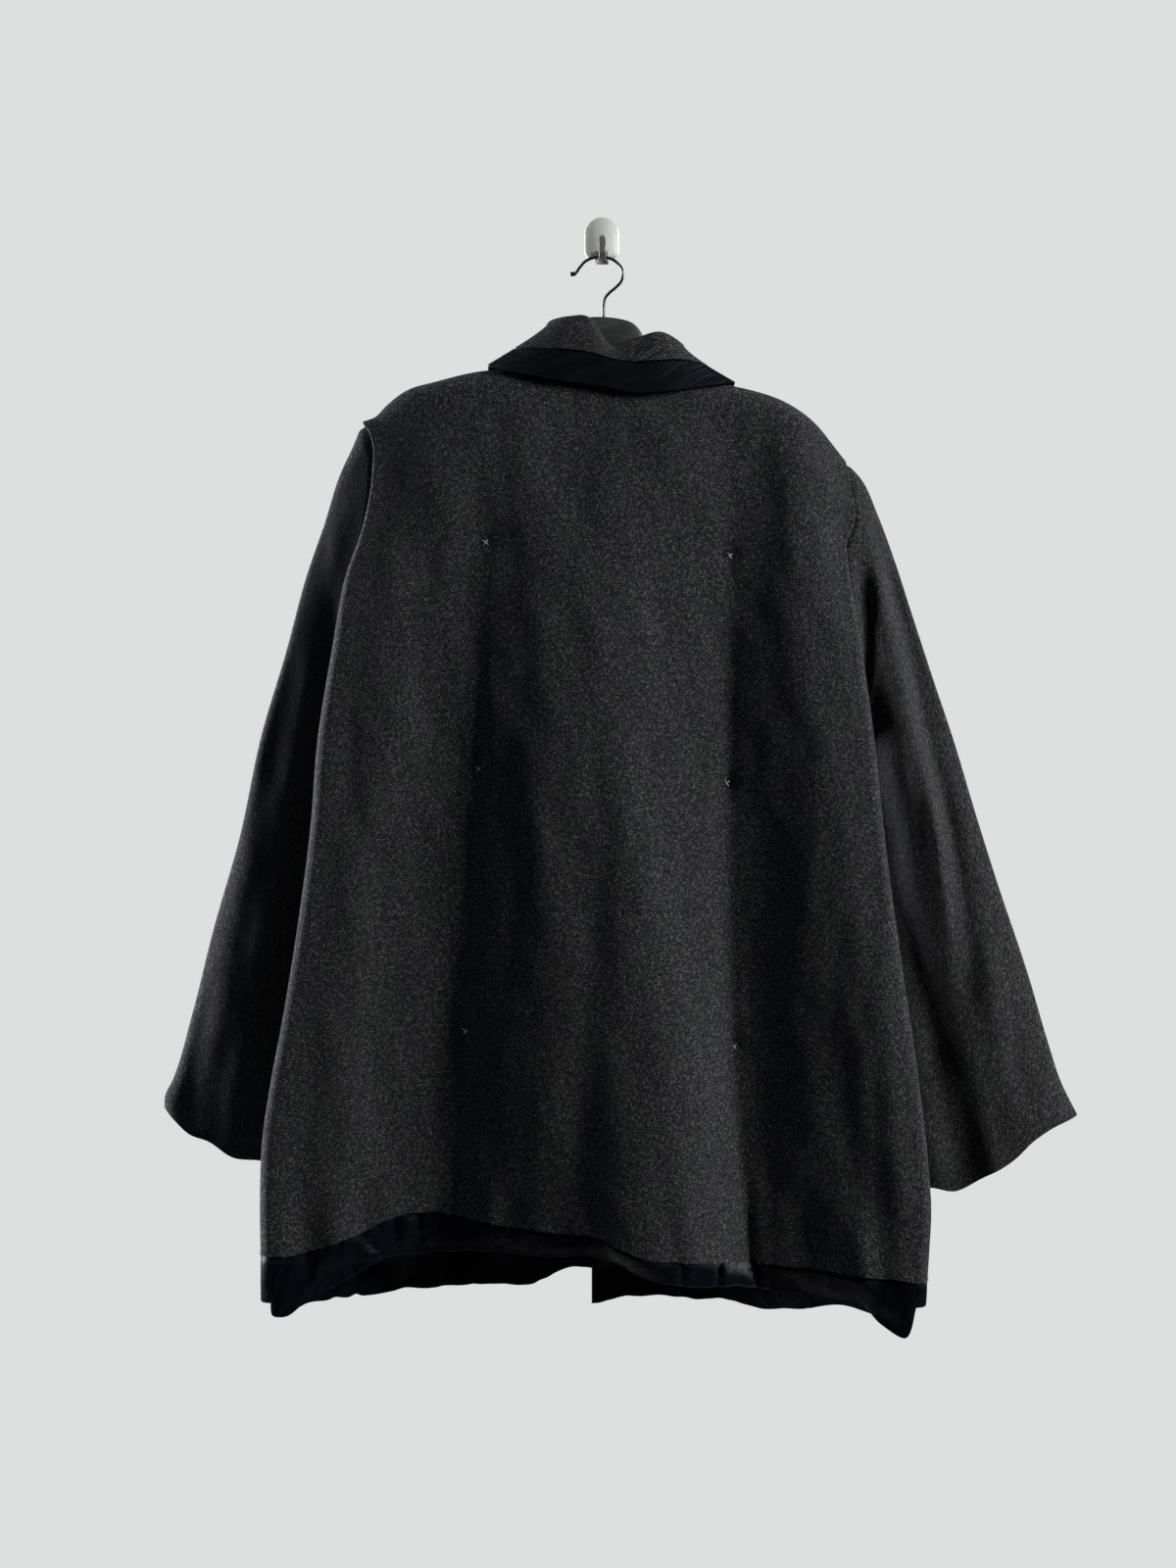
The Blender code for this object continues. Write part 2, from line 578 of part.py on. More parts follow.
def collar(u, t):
    """The collar's middle surface, t from the neck seam over the fold to the lower edge."""
    rows = np.array(COLLAR_SECTIONS, float)
    rows[:, 0] = np.degrees(np.unwrap(np.radians(rows[:, 0])))
    row = through(rows, np.linspace(0, 1, len(rows)), u)
    facing = np.radians(row[..., 0])
    seam, fold, edge = row[..., 1:4], row[..., 4:7], row[..., 7:10]
    side = np.stack([np.sin(facing), np.cos(facing), np.zeros_like(facing)], axis=-1)
    drop = np.array([0.0, 0.0, COLLAR_ROLL_DROP])
    inside = fold - side * COLLAR_ROLL - drop
    outside = fold + side * COLLAR_ROLL - drop
    path = np.stack([seam, inside, fold, outside, edge])
    knots = np.array([0.0, FOLD_SHARE - ROLL_SHARE, FOLD_SHARE, FOLD_SHARE + ROLL_SHARE, 1.0])
    weights = through(np.eye(len(knots)), knots, t)
    place = np.einsum("...k,k...c->...c", weights, path)
    return points(place[..., 0], place[..., 1], place[..., 2])


def band_share(u):
    """Share t at which the collar's band begins."""
    edge = collar(u, np.ones_like(u))
    fold = collar(u, np.full_like(u, FOLD_SHARE))
    fall = np.linalg.norm(edge - fold, axis=-1)
    part = np.clip(COLLAR_BAND_WIDTH * MM / fall, 0, COLLAR_BAND_MOST)
    return 1 - part * (1 - FOLD_SHARE)


def collar_cloth(u, t):
    """The collar's wool, as far as its band."""
    return collar(u, t * (band_share(u) - COLLAR_BAND_GAP))


def collar_edge(u, t):
    """The satin band round the collar's edge."""
    return collar(u, mix(band_share(u) + COLLAR_BAND_GAP, 1.0, t))


def normals(surface, u, v):
    """Unit normals of a surface function, from small steps along u and v."""
    step = 1e-3
    along_u = surface(np.minimum(u + step, 1), v) - surface(np.maximum(u - step, 0), v)
    along_v = surface(u, np.minimum(v + step, 1)) - surface(u, np.maximum(v - step, 0))
    normal = np.cross(along_u, along_v)
    return normal / np.linalg.norm(normal, axis=-1, keepdims=True)


def material(name, colour, roughness, metallic=0.0, sheen=0.0):
    made = bpy.data.materials.get(name)
    if made:
        return made
    made = bpy.data.materials.new(name)
    made.use_nodes = True
    shader = made.node_tree.nodes["Principled BSDF"]
    shader.inputs["Base Color"].default_value = (*colour, 1)
    shader.inputs["Roughness"].default_value = roughness
    shader.inputs["Metallic"].default_value = metallic
    shader.inputs["Sheen Weight"].default_value = sheen
    return made


def wool():
    return material("wool", (0.028, 0.028, 0.030), 0.95, sheen=0.3)


def satin():
    return material("satin", (0.010, 0.010, 0.014), 0.45)


def add(name, mesh, look):
    """A smooth-shaded object of one material in the jacket's collection."""
    made = bpy.data.objects.new(name, mesh)
    mesh.materials.clear()
    mesh.materials.append(look)
    mesh.shade_smooth()
    mesh.set_sharp_from_angle(angle=math.radians(40))
    jacket_collection.objects.link(made)
    return made


def mesh_of(name, vertices, faces):
    """A mesh whose faces all point outwards."""
    mesh = bpy.data.meshes.new(name)
    mesh.from_pydata([tuple(p) for p in vertices], [], faces)
    shape = bmesh.new()
    shape.from_mesh(mesh)
    bmesh.ops.recalc_face_normals(shape, faces=shape.faces)
    shape.to_mesh(mesh)
    shape.free()
    return mesh


def wall(name, surface, columns, rows, thickness, look, wrap=False):
    """A cloth wall: the surface's points moved out and in by half the thickness."""
    u, v = np.meshgrid(columns, rows)
    middle = surface(u, v)
    if wrap:
        normal = wrapped_normals(surface, u, v)
    else:
        normal = normals(surface, u, v)
    shift = normal * thickness / 2 * MM
    vertices = np.concatenate([(middle + shift).reshape(-1, 3), (middle - shift).reshape(-1, 3)])
    down, across = u.shape
    far = down * across
    last = across if wrap else across - 1
    faces = []
    for i in range(down - 1):
        for j in range(last):
            a, b = i * across + j, i * across + (j + 1) % across
            c, d = b + across, a + across
            quad = (a, b, c, d)
            faces.append(quad)
            faces.append(tuple(k + far for k in reversed(quad)))
    for rim in rims(down, across, last, wrap):
        for a, b in rim:
            faces.append((a, a + far, b + far, b))
    return add(name, mesh_of(name, vertices, faces), look)


def rims(down, across, last, wrap):
    """The open edges of a wall's grid, as pairs of points in one turning sense."""
    foot = (down - 1) * across
    yield [(j, (j + 1) % across) for j in range(last)]
    yield [(foot + (j + 1) % across, foot + j) for j in range(last)]
    if not wrap:
        yield [((i + 1) * across, i * across) for i in range(down - 1)]
        yield [(i * across + across - 1, (i + 1) * across + across - 1) for i in range(down - 1)]


def wrapped_normals(surface, u, v):
    """The same for a surface that closes on itself along u."""
    step = 1e-3
    along_u = surface(u + step, v) - surface(u - step, v)
    along_v = surface(u, np.minimum(v + step, 1)) - surface(u, np.maximum(v - step, 0))
    normal = np.cross(along_u, along_v)
    return normal / np.linalg.norm(normal, axis=-1, keepdims=True)


def loft(name, rings, look):
    """A closed solid through rings of points, with flat ends."""
    count = len(rings[0])
    vertices = np.concatenate(rings)
    faces = [tuple(range(count))[::-1], tuple(range(len(vertices) - count, len(vertices)))]
    for i in range(len(rings) - 1):
        for j in range(count):
            a, b = i * count + j, i * count + (j + 1) % count
            faces.append((a, b, b + count, a + count))
    return add(name, mesh_of(name, vertices, faces), look)


def tube(name, route, radius, look, thickness=None, closed=False):
    """A round bar along points, from a curve with a bevel and filled caps."""
    curve = bpy.data.curves.new(name, "CURVE")
    curve.dimensions = "3D"
    curve.bevel_depth = radius * MM
    curve.bevel_resolution = 2
    curve.use_fill_caps = not closed
    line = curve.splines.new("POLY")
    line.points.add(len(route) - 1)
    for point, place in zip(line.points, route):
        point.co = (*place, 1)
    for point, factor in zip(line.points, thickness if thickness is not None else []):
        point.radius = factor
    line.use_cyclic_u = closed
    made = bpy.data.objects.new(name, curve)
    curve.materials.append(look)
    jacket_collection.objects.link(made)
    return made


def spread(count, power):
    """Shares from 0 to 1, closer together near 0."""
    return np.linspace(0, 1, count) ** power


def make_body():
    columns = np.linspace(0, 1, 37)
    rows = spread(25, 1.5)
    wall("back", back, columns, rows, WOOL, wool())
    wall("hem_band_back", back_band, columns, np.linspace(0, 1, 4), SATIN, satin())
    for side in ("left", "right"):
        across = spread(17, 1.2)
        cloth = partial(front, side)
        band = partial(front_band, side)
        wall(f"front_{side}", cloth, across, rows, WOOL, wool())
        wall(f"hem_band_front_{side}", band, across, np.linspace(0, 1, 4), SATIN, satin())


def make_sleeves():
    even = np.linspace(0, 1, 21)[:-1]
    finer = np.concatenate([even[:3], np.linspace(*SLEEVE_FOLD_COLUMNS), even[7:]])
    for side, around in (("left", even), ("right", finer)):
        cloth = partial(sleeve, side)
        wall(f"sleeve_{side}", cloth, around, spread(19, 1.3), WOOL, wool(), wrap=True)


def make_collar():
    columns = np.linspace(0, 1, 33)
    wall("collar", collar_cloth, columns, np.linspace(0, 1, 9), WOOL, wool())
    wall("collar_band", collar_edge, columns, np.linspace(0, 1, 4), SATIN, satin())


def make_hanger():
    plastic = material("hanger plastic", (0.026, 0.027, 0.027), 0.5)
    wire = material("hanger wire", (0.010, 0.010, 0.011), 0.35)
    rings = []
    mirrored = [row._replace(across=-row.across) for row in reversed(HANGER_SECTIONS[1:])]
    angle = np.linspace(0, 2 * math.pi, 13)[:-1]
    cosine, sine = np.cos(angle), np.sin(angle)
    for row in mirrored + HANGER_SECTIONS:
        depth = row.half_depth * np.sign(cosine) * np.abs(cosine) ** HANGER_SQUARENESS
        middle, half = (row.top + row.bottom) / 2, (row.top - row.bottom) / 2
        z = middle + half * np.sign(sine) * np.abs(sine) ** HANGER_SQUARENESS
        x = HANGER_TOP.x + row.across * math.cos(HANGER_TILT) + z * math.sin(HANGER_TILT)
        height = HANGER_TOP.z + z * math.cos(HANGER_TILT) - row.across * math.sin(HANGER_TILT)
        rings.append(points(x, HANG_DEPTH + depth, height))
    loft("hanger_body", rings, plastic)
    share = np.linspace(0, 1, 34)
    route = spline(WIRE_ROUTE, share)
    knob = 1 + (WIRE_KNOB - 1) * (share < WIRE_KNOB_SHARE)
    tube("hanger_wire", points(route[:, 0], HANG_DEPTH, route[:, 1]), WIRE_RADIUS, wire, knob)


def plate_outline():
    """Half a circle over straight sides and two rounded lower corners: x, z."""
    top = PLATE_TOP - PLATE_HALF_WIDTH
    low = PLATE_BOTTOM + PLATE_CORNER
    side = PLATE_HALF_WIDTH - PLATE_CORNER
    outline = []
    for a in np.linspace(0, math.pi, 19):
        outline.append((PLATE_HALF_WIDTH * math.cos(a), top + PLATE_HALF_WIDTH * math.sin(a)))
    for sign in (-1, 1):
        for a in np.linspace(0, math.pi / 2, 6)[:: -sign]:
            outline.append(
                (sign * (side + PLATE_CORNER * math.cos(a)), low - PLATE_CORNER * math.sin(a))
            )
    return outline


def make_wall_hook():
    steel = material("brushed steel", (0.33, 0.33, 0.31), 0.4, metallic=1.0)
    outline = np.array(plate_outline())
    rings = [
        points(outline[:, 0], np.full(len(outline), depth), outline[:, 1])
        for depth in (0.0, PLATE_THICKNESS)
    ]
    loft("wall_plate", rings, steel)
    route = spline(PEG_SECTIONS, np.linspace(0, 1, 22))
    along = np.gradient(route[:, :2], axis=0)
    along /= np.linalg.norm(along, axis=1, keepdims=True)
    rings = []
    for (depth, z, half_width), (out, up) in zip(route, along):
        corners = np.array([(-1, -1), (1, -1), (1, 1), (-1, 1)]) * (half_width, PEG_THICKNESS / 2)
        rings.append(points(corners[:, 0], depth - up * corners[:, 1], z + out * corners[:, 1]))
    loft("wall_peg", rings, steel)


def front_place(z):
    """Middle of the front opening at height z: its x and the depth of the cloth there."""
    shares = np.linspace(0, 1, 200)
    places = {side: front(side, np.ones(200), shares) / MM for side in ("left", "right")}
    x = [np.interp(-z, -places[side][:, 2], places[side][:, 0]) for side in places]
    depth = [
        np.interp(-z + dz, -places[side][:, 2], -places[side][:, 1])
        for side in places
        for dz in (-LOOP_HALF, LOOP_HALF)
    ]
    return sum(x) / 2, min(depth)


def stadium(x, z, depth, start, end, half):
    """A closed cord: two straight runs from start to end, joined by half circles."""
    places = []
    for a in np.linspace(math.pi / 2, math.pi * 3 / 2, 7):
        places.append((x + start + half * math.cos(a), z + half * math.sin(a)))
    for a in np.linspace(-math.pi / 2, math.pi / 2, 7):
        places.append((x + end + half * math.cos(a), z + half * math.sin(a)))
    return [points(px, depth, pz) for px, pz in places]


def make_frogs():
    cord = material("frog cord", (0.012, 0.012, 0.015), 0.5)
    for number, height in enumerate(FROG_HEIGHTS, 1):
        x, depth = front_place(height)
        face = depth - WOOL / 2 - SEAM_GAP
        lying = face - CORD_RADIUS
        reach = LOOP_HALF + 2 * CORD_RADIUS + LEAF_HALF + SEAM_GAP
        loop = stadium(x, height, lying, -LEAF_LENGTH, 0.0, LOOP_HALF)
        tube(f"frog_loop_{number}", loop, CORD_RADIUS, cord, closed=True)
        leaf = stadium(x, height, lying, reach, LEAF_LENGTH, LEAF_HALF)
        tube(f"frog_leaf_{number}", leaf, CORD_RADIUS, cord, closed=True)
        bpy.ops.mesh.primitive_uv_sphere_add(
            segments=12, ring_count=8, radius=KNOT_RADIUS * MM, location=(0, 0, 0)
        )
        ball = bpy.context.object
        for vertex in ball.data.vertices:
            vertex.co.y *= KNOT_FLATNESS
        knot = add(f"frog_knot_{number}", ball.data, cord)
        knot.location = points(x, face - KNOT_RADIUS * KNOT_FLATNESS, float(height))
        bpy.data.objects.remove(ball)


for old in list(bpy.data.objects):
    bpy.data.objects.remove(old)
jacket_collection = bpy.data.collections.new("frog_button_jacket")
bpy.context.scene.collection.children.link(jacket_collection)
make_body()
make_sleeves()
make_collar()
make_hanger()
make_wall_hook()
make_frogs()
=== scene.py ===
"""How the frog-button jacket looks: creased melange wool, puckered satin, plastic and steel.

Metres, +Z up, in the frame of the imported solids: the wall is the plane y = 0 and the jacket hangs
at negative y, its back to the room. The tables are in millimetres: x to the right as one faces
the wall, z up, and depth is the distance in front of the wall.
"""

import math
from collections import namedtuple
from functools import partial

import bmesh
import bpy
import numpy as np
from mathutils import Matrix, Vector


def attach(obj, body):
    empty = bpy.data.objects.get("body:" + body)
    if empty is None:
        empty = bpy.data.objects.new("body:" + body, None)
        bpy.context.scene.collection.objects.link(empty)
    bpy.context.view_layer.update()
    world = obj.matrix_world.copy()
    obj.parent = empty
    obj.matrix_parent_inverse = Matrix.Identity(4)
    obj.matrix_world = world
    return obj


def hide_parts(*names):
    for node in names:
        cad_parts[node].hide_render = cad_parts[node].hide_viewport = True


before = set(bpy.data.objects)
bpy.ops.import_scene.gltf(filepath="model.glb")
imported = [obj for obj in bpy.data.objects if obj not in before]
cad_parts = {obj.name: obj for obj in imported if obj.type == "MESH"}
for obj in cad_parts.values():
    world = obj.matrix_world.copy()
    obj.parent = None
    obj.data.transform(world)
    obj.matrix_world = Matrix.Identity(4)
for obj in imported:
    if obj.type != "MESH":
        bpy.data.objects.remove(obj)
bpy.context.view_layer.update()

# Driving dimensions, in millimetres
MM = 0.001
WOOL = 2.0  # thickness of the coating wool
SATIN = 1.5  # thickness of the satin bands, two layers of cloth
SEAM_GAP = 0.4  # between two pieces along a seam
SIDE_GAP = 0.7  # between the middles of two walls that turn as they meet
HANG_DEPTH = 24.0  # the hanger's middle plane in front of the wall
SHOULDER_HALF = 14.5  # from that plane to the cloth over the hanger's arms
SHOULDER_END_HALF = 8.5  # and at the shoulder's outer corner
SHOULDER_END = 0.16  # share of the back's width over which it thins to that
SHOULDER_ROUND = 18.0  # height over which the shoulder rounds over
SWELL = 52.0  # how much further the back stands off at the hem
SWELL_POWER = 0.7
CURL_SHARE = 0.10  # share of the back's width that turns round its edge
CURL_ANGLE = math.radians(150)
CURL_RADIUS = 10.5
CURL_LEAST = 0.05  # at the shoulder
CURL_GROWTH = (-0.02, 0.34)  # shares v over which the turned edge grows round
BAND_TUCK = 6.0  # how far the back band's lower edge turns in
BACK_HEIGHT = 790.0  # of the wool, shoulder to hem
BACK_NECK = (0.33, 0.37, 0.64, 0.68)  # shares of the back's width where its neck starts and ends
FRONT_NECK = (0.57, 0.61)  # shares of a front's width where its shoulder seam ends
UNDERARM = 0.32  # share v of the underarm
CENTRE_DEPTH_TOP = 9.5  # the front edges at the neck
CENTRE_DEPTH = 16.5  # and from the chest down
CENTRE_FLARE = 4.0  # added towards the hem
FRONT_FALL = (0.12, 0.7)  # shares of a front's width over which it comes down to its edge
TURN_WIDTH = 0.05  # the soft turn beside the side seam
TURN_SHARE = 0.16
SHOULDER_FADE = 0.12  # share v over which the shoulder's shape fades
SIDE_FADE = 0.08  # share of a front's width over which it comes to the side seam
BACK_RIPPLES = 44.0  # radians of the pucker along the back band
BACK_RIPPLE_DEPTH = 2.5
FRONT_RIPPLES = 30.0
FRONT_RIPPLE_DEPTH = 2.0

# Outlines are lists of x and z. The back's: the shoulder line, with the back neck between its
# shoulders.
SHOULDER_LINE = [
    (-230, -184), (-219, -180), (-208, -169), (-188, -154), (-161, -146), (-118, -136), (-70, -134),
    (7, -141), (85, -146), (137, -152.5), (177, -166), (200, -181.5), (223, -208), (233, -221),
]
BACK_LEFT = [
    (-230, -184), (-221, -200), (-219, -235), (-223, -265), (-232, -300), (-243, -331),
    (-256, -400), (-270, -492), (-276, -574), (-288, -671), (-301, -755), (-312, -816),
    (-319, -865), (-321, -930), (-320, -974),
]
BACK_RIGHT = [
    (233, -221), (238, -252), (241, -273), (239, -287), (233, -301), (234, -325), (238, -359),
    (247, -419), (256, -491), (261, -547), (269, -625), (279, -705), (292.5, -807), (301, -893),
    (302.5, -926), (300, -965), (298, -990),
]
BACK_HEM = [
    (-320, -974), (-302, -974), (-276, -968), (-253, -960), (-225, -950), (-200, -939),
    (-174, -937), (-103, -945), (-44, -950), (-10, -951), (15, -961), (38, -969), (73, -973),
    (131, -978), (211, -983), (245, -985.5), (298, -990),
]
BACK_BAND_LOW = [
    (-321, -1019), (-319, -1031), (-308, -1032), (-287, -1018), (-252, -1000), (-205, -978),
    (-168, -975), (-106, -971), (-55, -974), (-10, -971), (15, -978), (38, -987), (80, -996),
    (131, -999), (168, -1005), (220, -1010), (248, -1014), (266, -1031), (288, -1042), (298, -1014),
]

# The fronts, each from the side to the front edge.
FRONT_TOP = {
    "left": [*SHOULDER_LINE[:6], (-62, -134), (-46, -158), (-22, -186), (5, -204)],
    "right": [*SHOULDER_LINE[:8:-1], (82, -146), (64, -168), (38, -192), (8, -206)],
}
FRONT_EDGE = {
    "left": [(5, -204), (1, -400), (-4, -600), (-8, -760), (-11, -880), (-13, -966)],
    "right": [(8, -206), (4, -400), (-1, -600), (-5, -760), (-8, -880), (-10, -997)],
}
FRONT_HEM = {
    "left": [
        (-315, -974), (-280, -985), (-222, -986), (-158, -980), (-94, -976), (-46, -970),
        (-13, -966),
    ],
    "right": [(293, -990), (250, -998), (183, -998), (97, -992), (25, -993), (-10, -997)],
}
FRONT_BAND_LOW = {
    "left": [
        (-315, -1014), (-303, -1033), (-280, -1026), (-222, -1020), (-158, -1017), (-94, -1016),
        (-58, -1014), (-44, -1004), (-25, -999), (-13, -1001),
    ],
    "right": [
        (293, -1012), (284, -1036), (268, -1032), (224, -1022), (183, -1031), (145, -1035),
        (118, -1028), (92, -1030), (59, -1027), (25, -1030), (-10, -1035),
    ],
}

# A front's outer edge above the underarm, the front half of the armhole: share v and depth.
ARMHOLE_FRONT = [(0.00, HANG_DEPTH), (0.03, 16.0), (0.08, 12.0), (0.16, 14.0), (0.24, 24.0)]

# The back's long folds: where each lies across, how far it reaches to its left and right, how
# round its middle is (2 is round, 1 a sharp crease), and how deep it is. A depth below zero is a
# ridge towards the room.
FoldRow = namedtuple("FoldRow", "u_top u_hem left right roundness depth_top depth_hem")
BACK_FOLDS = [
    FoldRow(0.242, 0.268, 0.190, 0.095, 1.4, 6.5, 23.0),
    FoldRow(0.410, 0.650, 0.170, 0.105, 2.0, 2.0, -29.0),
    FoldRow(0.737, 0.750, 0.100, 0.100, 1.3, 7.5, 16.0),
    FoldRow(0.985, 0.985, 0.150, 0.200, 1.7, -6.0, -36.0),
    FoldRow(0.000, 0.000, 0.080, 0.150, 2.0, -2.0, -5.0),
]
FOLD_START = (0.02, 0.25)  # shares v over which the folds begin below the shoulder

# The sleeves, from shoulder to cuff.
SLEEVE_OUTER = {
    "left": [
        (-231, -186), (-240, -208), (-251, -231), (-268, -283), (-284, -329), (-305, -407),
        (-328, -485), (-349, -585), (-374, -674), (-394, -755), (-413, -819), (-420, -834),
        (-420, -843),
    ],
    "right": [
        (234, -223), (250, -240), (265, -272), (281, -314), (298, -366), (321, -437), (337, -485),
        (362, -569), (380, -627), (410, -718), (430, -787), (440, -818), (456, -851),
    ],
}
SLEEVE_INNER = {
    "left": [(-259, -434), (-262, -533), (-263, -627), (-264, -722), (-266, -816), (-268, -906)],
    "right": [(246, -446), (252, -533), (258, -627), (266, -722), (273, -816), (282, -926)],
}
# Their sections: share w, depth and thickness.
SLEEVE_SECTIONS = [
    (0.00, 23.0, 16.0), (0.15, 19.0, 20.0), (0.40, 20.0, 24.0), (0.70, 24.0, 32.0),
    (1.00, 28.0, 38.0),
]
# How far each cuff's edge hangs below a straight line: the share across from its outer end, and
# the drop.
CUFF_DROP = {
    "left": [(0.00, 0), (0.08, 8), (0.15, 13.5), (0.30, 13), (0.44, 18), (0.60, 11), (1.00, 2)],
    "right": [
        (0.00, 0), (0.19, 1), (0.27, 5), (0.34, 12), (0.52, 18.5), (0.68, 21), (0.81, 8), (1.00, 0),
    ],
}
CUFF_START = 0.85  # share w from which the sleeve runs into its cuff
ARMHOLE_TUCK = 2.6  # the sleeve's first ring lies this far inside the armhole's edge
ARMHOLE_GAP = 1.6  # and this far outside its line
ARMHOLE_GAP_TOP = 0.6
ARMHOLE_GAP_FRONT = 0.9
ARMHOLE_BLEND = 0.18  # share of the sleeve over which it leaves the armhole's shape
SLEEVE_FLATNESS = 0.75
# Each sleeve sinks towards the body: where, across its top and its cuff, and how much.
SleeveSink = namedtuple("SleeveSink", "top cuff amount")
SINK_SIDES = (-0.09, 0.12)  # from its line, the shares across over which it sinks
SINK_START = (0.1, 0.35)  # shares w over which it begins
SLEEVE_SINK = {"left": SleeveSink(0.80, 0.62, 0.22), "right": SleeveSink(0.72, 0.52, 0.45)}

# The long ridge down the room side of the right sleeve, and the furrow beside it.
SleeveFold = namedtuple("SleeveFold", "height body_width outer_width route")
SLEEVE_FOLDS = [
    SleeveFold(7.0, 15.0, 11.0, [
        (243, -282), (254, -307), (265, -336), (274, -377), (286, -428), (295, -476), (308, -524),
        (317, -566), (324, -614), (330, -668), (345, -761),
    ]),
    SleeveFold(-3.5, 9.0, 14.0, [
        (262, -300), (284, -354), (305, -442), (327, -538), (346, -632), (362, -760),
    ]),
]
SLEEVE_FOLD_START = (0.02, 0.12)  # shares w over which they leave the armhole
FOLD_FADE = (0.12, 0.4)  # shares of a fold's length over which it rises and dies away

# The collar, round the neck from the left front edge to the right one: the way that it faces, in
# degrees, and the x, depth and z of its seam, of its fold and of its edge.
COLLAR_SECTIONS = [
    (180, 2, 12.0, -204, 0, 8.5, -184, -28, 5.0, -262),
    (180, -24, 12.0, -184, -24, 9.0, -156, -50, 4.8, -238),
    (190, -48, 12.5, -155, -44, 8.5, -122, -78, 4.8, -192),
    (235, -60, 16.0, -131, -55, 15.0, -96, -106, 6.5, -143),
    (270, -60, 22.0, -130, -53, 24.0, -92, -110, 22.0, -129),
    (300, -54, 29.0, -131, -48, 32.0, -88, -102, 38.0, -135),
    (340, -35, 36.0, -134, -30, 40.0, -86, -60, 47.0, -145),
    (355, -12, 36.4, -138, -12, 41.0, -88, -14, 47.5, -152),
    (0, 7, 36.4, -141, 8, 41.5, -114, 8, 48.0, -155),
    (5, 28, 36.4, -142, 30, 41.0, -108, 31, 48.0, -160),
    (20, 54, 36.0, -144, 55, 40.0, -101, 66, 47.5, -158),
    (60, 76, 29.0, -144, 75, 32.0, -109.5, 116, 39.0, -150),
    (90, 82, 22.0, -144, 78, 24.0, -115, 128, 22.0, -146),
    (125, 80, 16.0, -145, 76, 15.0, -116, 120, 6.5, -158),
    (170, 66, 12.5, -167, 62, 8.5, -134, 96, 4.8, -201),
    (180, 40, 12.0, -191, 38, 9.0, -164, 64, 4.8, -240),
    (180, 11, 12.0, -206, 12, 8.5, -186, 38, 5.0, -264),
]
COLLAR_BAND_WIDTH = 22.5
COLLAR_BAND_MOST = 0.72  # the band's largest share of the fall
COLLAR_BAND_GAP = 0.006  # share t left free on each side of the band's seam
COLLAR_ROLL = 2.8  # half the width of the collar's roll
COLLAR_ROLL_DROP = 4.0
FOLD_SHARE = 0.42
ROLL_SHARE = 0.12

# The hanger, out from its middle: across, top, bottom and half depth. Heights are below the top
# of its neck.
HANGER_SECTIONS = [
    (0, 0, -72, 7), (15, -1, -73, 7), (28, -4.5, -75, 7), (36, -12, -77, 7), (41, -23, -79, 7),
    (45, -41, -82, 7), (50, -52, -85, 7.5), (60, -57, -88, 8), (80, -61, -93, 8.5),
    (100, -64.5, -98, 9), (135, -69, -104, 10), (165, -77, -109, 10), (183, -86, -112, 9),
    (191, -93, -110, 6.5), (195, -99, -107, 3),
]
HANGER_TOP = (1.5, -82.3)  # x and z
HANGER_TILT = math.radians(2.5)
HANGER_SQUARENESS = 0.7  # 1 is an oval section, less is squarer
WIRE_RADIUS = 1.45
WIRE_KNOB = 1.45  # the rolled end is this many times thicker
WIRE_KNOB_SHARE = 0.05
WIRE_ROUTE = [
    (-30.6, -41.0), (-26.4, -40.5), (-22.0, -35.0), (-16.2, -28.6), (-5.0, -24.5), (2.7, -24.8),
    (9.8, -26.7), (15.2, -30.6), (19.0, -36.0), (20.0, -41.5), (18.0, -48.5), (12.9, -54.0),
    (7.0, -59.0), (3.2, -63.5), (1.8, -70.0), (1.5, -81.9),
]

# The wall hook
PLATE_HALF_WIDTH = 16.7
PLATE_TOP = 20.5
PLATE_BOTTOM = -20.5
PLATE_CORNER = 8.0
PLATE_THICKNESS = 1.6
PEG_THICKNESS = 1.2
# The peg along its length: depth, z and half width.
PEG_SECTIONS = [
    (2.7, -13.0, 6.5), (2.9, -20.0, 6.5), (4.8, -24.8, 6.5), (9.0, -27.0, 6.3), (16.0, -27.3, 5.6),
    (24.0, -27.4, 4.0), (28.2, -25.8, 3.2), (30.4, -22.4, 3.0), (30.9, -16.0, 3.0),
    (30.9, -8.0, 3.0), (30.9, -5.6, 1.8),
]

# The frogs
FROG_HEIGHTS = (-300, -455, -610, -760)
CORD_RADIUS = 2.0
KNOT_RADIUS = 5.5
KNOT_FLATNESS = 0.7
LEAF_LENGTH = 40.0
LEAF_HALF = 6.5
LOOP_HALF = 8.6


def spline(rows, share):
    """Points on a smooth curve through the rows, at shares of its chord length."""
    rows = np.array(rows, float)
    share = np.asarray(share, float)
    steps = np.linalg.norm(np.diff(rows, axis=0), axis=1)
    knots = np.concatenate([[0.0], np.cumsum(steps)]) / steps.sum()
    return through(rows, knots, share)


def through(rows, knots, at):
    """Cubic Hermite interpolation of the rows at their knots."""
    slopes = np.gradient(rows, knots, axis=0)
    i = np.clip(np.searchsorted(knots, at, side="right") - 1, 0, len(knots) - 2)
    span = (knots[i + 1] - knots[i])[..., None]
    t = ((at - knots[i]) / span[..., 0])[..., None]
    start = rows[i] * (2 * t**3 - 3 * t**2 + 1) + slopes[i] * span * (t**3 - 2 * t**2 + t)
    end = rows[i + 1] * (3 * t**2 - 2 * t**3) + slopes[i + 1] * span * (t**3 - t**2)
    return start + end


def column(rows, at):
    """A table's later columns, interpolated at values of its first column."""
    rows = np.array(rows, float)
    return through(rows[:, 1:], rows[:, 0], np.asarray(at, float))


def smoothstep(low, high, x):
    t = np.clip((x - low) / (high - low), 0, 1)
    return t * t * (3 - 2 * t)


def mix(a, b, t):
    return a + (b - a) * t


